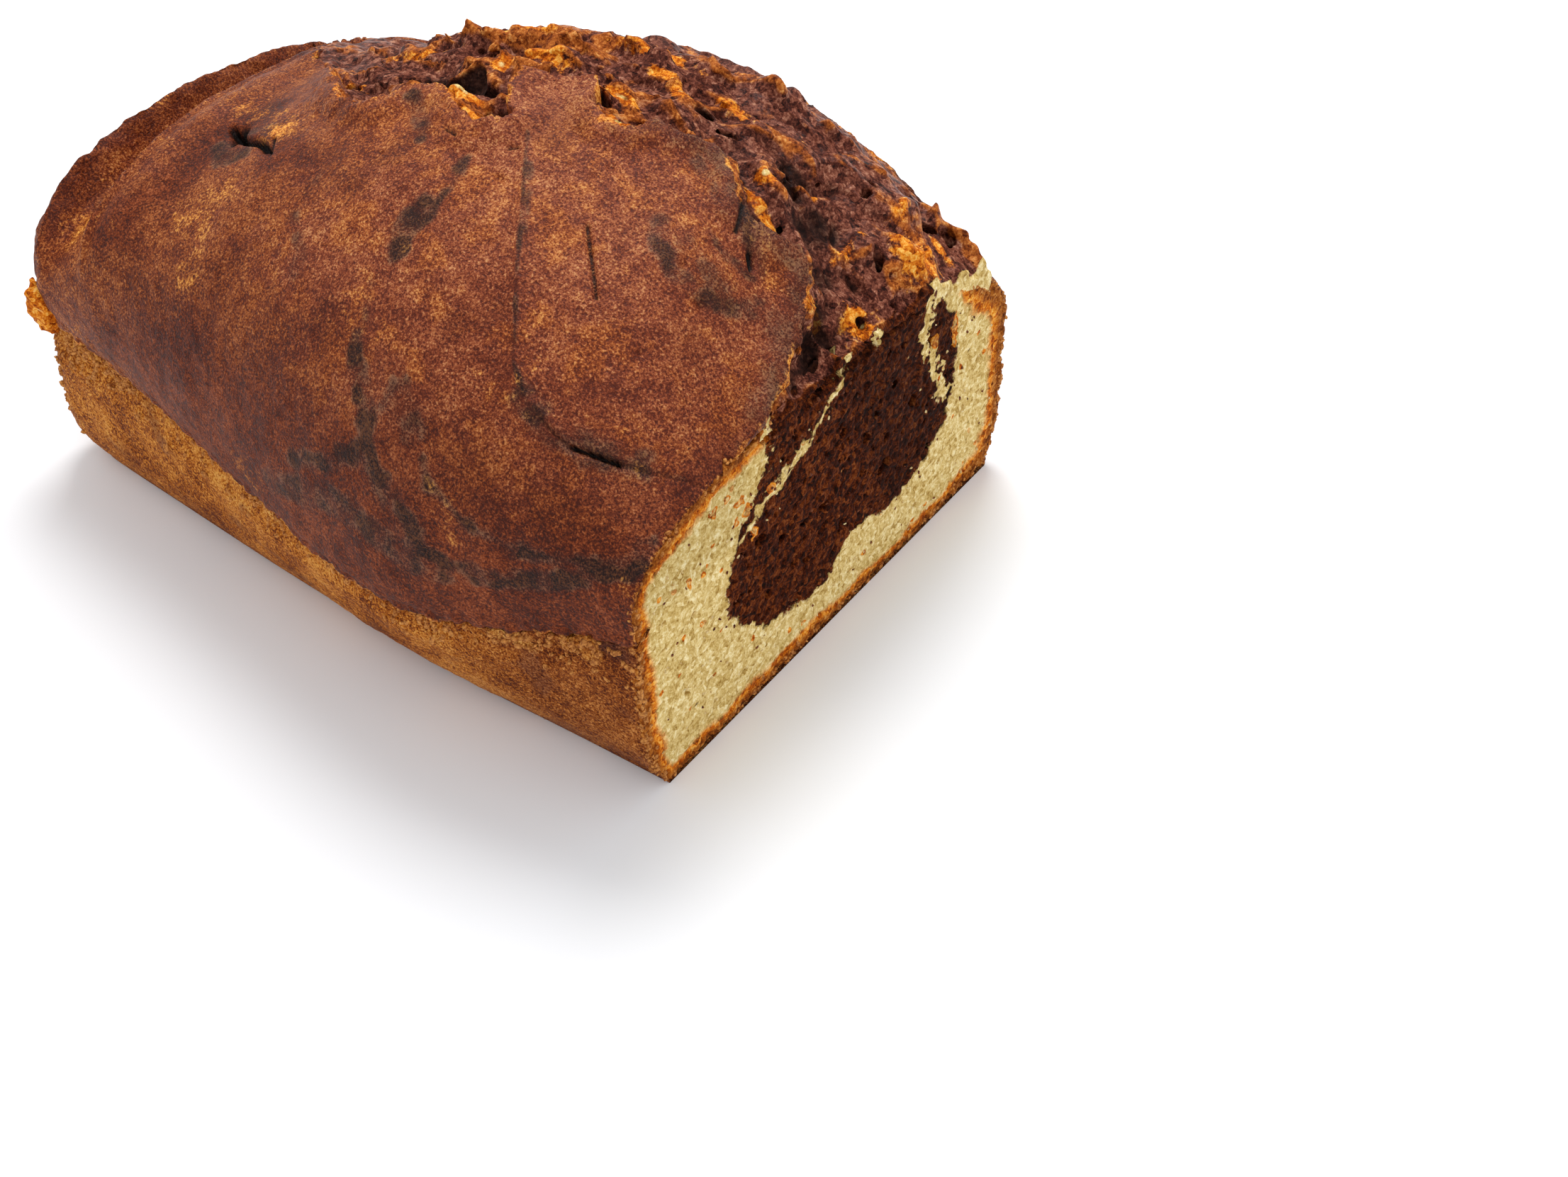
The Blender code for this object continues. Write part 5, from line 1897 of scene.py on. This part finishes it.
@dataclass(frozen=True)
class ClingingCrumbs:
    """Loose crumbs sown by Geometry Nodes where a piece's points hold a value."""

    dresser: Dresser
    seed: int = 4
    turn: float = 2.0 * math.pi
    lumpiness: float = 900.0
    least: tuple[float, float, float] = (0.5, 0.5, 0.4)
    most: tuple[float, float, float] = (1.5, 1.3, 1.1)

    def tree(self, held: str, finish: bpy.types.Material) -> Any:
        """The node tree that sows crumbs over its host.

        Args:
            held: Name of the value that says where crumbs cling.
            finish: The crumbs' material.

        Returns:
            The tree.
        """
        tree = bpy.data.node_groups.new("clinging_crumbs", "GeometryNodeTree")
        for name, way, kind in (("Host", "INPUT", "Geometry"), ("Per Area", "INPUT", "Float"),
                                ("Size", "INPUT", "Float"), ("Seed", "INPUT", "Int"),
                                ("Crumbs", "OUTPUT", "Geometry")):
            tree.interface.new_socket(name=name, in_out=way, socket_type=f"NodeSocket{kind}")
        add = partial(add_node, tree)
        given = add("NodeGroupInput", {}, {}).outputs
        where = add("GeometryNodeInputNamedAttribute", {"data_type": "FLOAT"}, {"Name": held})
        dense = add("ShaderNodeMath", {"operation": "MULTIPLY"}, {
            0: where.outputs["Attribute"], 1: given["Per Area"]})
        sown = add("GeometryNodeDistributePointsOnFaces", {"distribute_method": "RANDOM"}, {
            "Mesh": given["Host"], "Density": dense.outputs[0], "Seed": given["Seed"]})
        ball = add("GeometryNodeMeshIcoSphere", {}, {"Radius": given["Size"], "Subdivisions": 1})
        rough = add("ShaderNodeTexNoise", {}, {"Scale": self.lumpiness, "Detail": 0.0})
        centred = add("ShaderNodeVectorMath", {"operation": "SUBTRACT"}, {
            0: rough.outputs["Color"], 1: (0.5, 0.5, 0.5)})
        pushed = add("ShaderNodeVectorMath", {"operation": "SCALE"}, {
            0: centred.outputs[0], "Scale": given["Size"]})
        lump = add("GeometryNodeSetPosition", {}, {
            "Geometry": ball.outputs["Mesh"], "Offset": pushed.outputs[0]})
        turned = add("FunctionNodeRandomValue", {"data_type": "FLOAT_VECTOR"}, {
            0: (0.0, 0.0, 0.0), 1: (self.turn,) * 3, "Seed": given["Seed"]})
        scaled = add("FunctionNodeRandomValue", {"data_type": "FLOAT_VECTOR"}, {
            0: self.least, 1: self.most, "Seed": given["Seed"]})
        spread = add("GeometryNodeInstanceOnPoints", {}, {
            "Points": sown.outputs["Points"], "Instance": lump.outputs["Geometry"],
            "Rotation": turned.outputs[0], "Scale": scaled.outputs[0]})
        real = add("GeometryNodeRealizeInstances", {}, {0: spread.outputs["Instances"]})
        dressed = add("GeometryNodeSetMaterial", {}, {
            "Geometry": real.outputs[0], "Material": finish})
        add("NodeGroupOutput", {}, {"Crumbs": dressed.outputs["Geometry"]})
        return tree

    def build(self, name: str, host: Any, held: str, size: float, per_mm2: float,
              finish: bpy.types.Material) -> None:
        """Sow one kind of crumb.

        Args:
            name: The new piece's name.
            host: The piece that the crumbs cling to.
            held: Name of the host's value that says where.
            size: Radius of a crumb in millimetres.
            per_mm2: Crumbs for each square millimetre where the value is 1.
            finish: The crumbs' material.
        """
        sower = add_object("sower", host.data.copy())
        modifier = sower.modifiers.new("crumbs", "NODES")
        modifier.node_group = self.tree(held, finish)
        names = modifier.node_group.interface.items_tree
        given = {"Per Area": per_mm2 / MM ** 2, "Size": size * MM, "Seed": self.seed}
        for label, value in given.items():
            modifier[names[label].identifier] = value
        graph = bpy.context.evaluated_depsgraph_get()
        mesh = bpy.data.meshes.new_from_object(sower.evaluated_get(graph))
        bpy.data.objects.remove(sower)
        low, high = self.dresser.place.low, self.dresser.place.high
        spots = np.empty(3 * len(mesh.vertices))
        mesh.vertices.foreach_get("co", spots)
        mesh.vertices.foreach_set("co", np.clip(spots.reshape(-1, 3), low, high).ravel())
        mesh.shade_smooth()
        self.dresser.settle(add_object(name, mesh), Slot.CRUMB)


@dataclass(frozen=True)
class Studio:
    """Camera, pale floor and soft light."""

    lens: float = 46.278
    sensor: float = 36.0
    eye: tuple[float, float, float] = (0.164814, -0.189426, 0.302767)
    right: tuple[float, float, float] = (0.80933766, 0.58734364, 0.0)
    up: tuple[float, float, float] = (-0.41478073, 0.5715524, 0.70801469)
    back: tuple[float, float, float] = (0.41584793, -0.57302295, 0.70619771)
    floor_size: float = 6.0
    floor_colour: Colour = (0.9, 0.9, 0.91, 1.0)
    floor_roughness: float = 0.7
    world_colour: Colour = (0.96, 0.98, 1.0, 1.0)
    world_strength: float = 0.8
    key: tuple[tuple[float, float, float], float, float] = ((-0.25, 0.45, 1.05), 0.45, 8.0)
    fill: tuple[tuple[float, float, float], float, float] = ((0.8, -0.45, 0.7), 0.6, 1.5)

    def camera(self, place: Placement) -> None:
        """Stand the camera where the loaf is seen from its cut corner, from above."""
        data = bpy.data.cameras.new("camera")
        data.lens, data.sensor_width = self.lens, self.sensor
        data.clip_start, data.clip_end = 0.01, 20.0
        made = add_object("camera", data)
        origin = [place.high[0], place.low[1] + place.front_reach * MM, place.low[2]]
        turn = Matrix((self.right, self.up, self.back)).transposed().to_4x4()
        turn.translation = [a + b for a, b in zip(self.eye, origin)]
        made.matrix_world = turn
        bpy.context.scene.camera = made

    def floor(self, place: Placement) -> None:
        """Lay the pale floor under the base."""
        half, z = 0.5 * self.floor_size, float(place.low[2])
        mesh = bpy.data.meshes.new("floor")
        corners = [(-half, -half, z), (half, -half, z), (half, half, z), (-half, half, z)]
        mesh.from_pydata(corners, [], [(0, 1, 2, 3)])
        material = bpy.data.materials.new("pale_floor")
        material.use_nodes = True
        shader = material.node_tree.nodes["Principled BSDF"]
        shader.inputs["Base Color"].default_value = self.floor_colour
        shader.inputs["Roughness"].default_value = self.floor_roughness
        mesh.materials.append(material)
        add_object("floor", mesh)

    def light(self) -> None:
        """Hang the soft lights and light the surroundings."""
        world = bpy.data.worlds.new("surroundings")
        world.use_nodes = True
        ground = world.node_tree.nodes["Background"]
        ground.inputs["Color"].default_value = self.world_colour
        ground.inputs["Strength"].default_value = self.world_strength
        bpy.context.scene.world = world
        self.lamp("key", *self.key)
        self.lamp("fill", *self.fill)
        bpy.context.scene.view_settings.view_transform = "Standard"

    def lamp(self, name: str, spot: tuple[float, float, float], size: float, power: float) -> None:
        """Hang one square lamp that faces the loaf."""
        data = bpy.data.lights.new(name, "AREA")
        data.shape, data.size, data.energy = "SQUARE", size, power
        made = add_object(name, data)
        away = Matrix.Translation(spot).translation
        made.location = away
        made.rotation_euler = away.to_track_quat("Z", "Y").to_euler()


def main() -> None:
    """Build and dress every piece of the loaf."""
    logging.basicConfig(level=logging.INFO, format="%(name)s %(message)s")
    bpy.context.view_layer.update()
    form = LoafForm()
    low, high = (np.array(corner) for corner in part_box(NODE))
    place = Placement(low, high, form.front_reach())
    dresser = Dresser(place)
    noise = Noise(20)
    burst = BurstMap(form, noise)
    marks = SkinMarks(form, noise)
    dome = DomeCrust(form, noise, burst, marks)
    skin = SkinFinish().build()
    crumb = CrumbFinish().build()
    dresser.piece("dome_crust_front", dome.patch(False), skin, Slot.CRUST)
    dresser.piece("dome_crust_back", dome.patch(True), skin, Slot.CRUST)
    walls = TinCrust(form, noise, dome.lip)
    tin = dresser.piece("tin_crust", walls.build(), WallFinish().build(), Slot.CRUST)
    dresser.piece("corner_bit", CornerBit(noise).build(), crumb, Slot.CRUMB)
    face = CutFace(form, noise, CutPattern(noise), burst)
    hosts = [dresser.piece(f"cut_crumb_{side}", draft, crumb, Slot.CRUMB)
             for side, draft in zip(("back", "front"), face.build())]
    for side, draft in zip(("right", "left"), BurstCrumb(form, noise, burst, face).build()):
        dresser.piece(f"burst_crumb_{side}", draft, crumb, Slot.CRUMB)
    pale = PlainCrumbs("pale_crumb", tones((184, 146, 80), (238, 216, 162))).build()
    cocoa = PlainCrumbs("cocoa_crumb", tones((70, 28, 12), (132, 72, 38))).build()
    golden = PlainCrumbs("golden_crumb", tones((132, 68, 22), (220, 150, 76))).build()
    crumbs = ClingingCrumbs(dresser)
    kinds = (("pale", "pale_bits", 0.38, 0.08, pale), ("cocoa", "cocoa_bits", 0.4, 0.08, cocoa),
             ("rim", "golden_bits", 0.55, 0.35, golden))
    for side, host in zip(("back", "front"), hosts):
        for kind, held, size, per_mm2, finish in kinds:
            crumbs.build(f"{kind}_crumbs_{side}", host, held, size, per_mm2, finish)
    crumbs.build("golden_crumbs", tin, "golden_bits", 0.75, 0.45, golden)
    studio = Studio()
    studio.camera(place)
    studio.floor(place)
    studio.light()


if __name__ == "__main__":
    main()
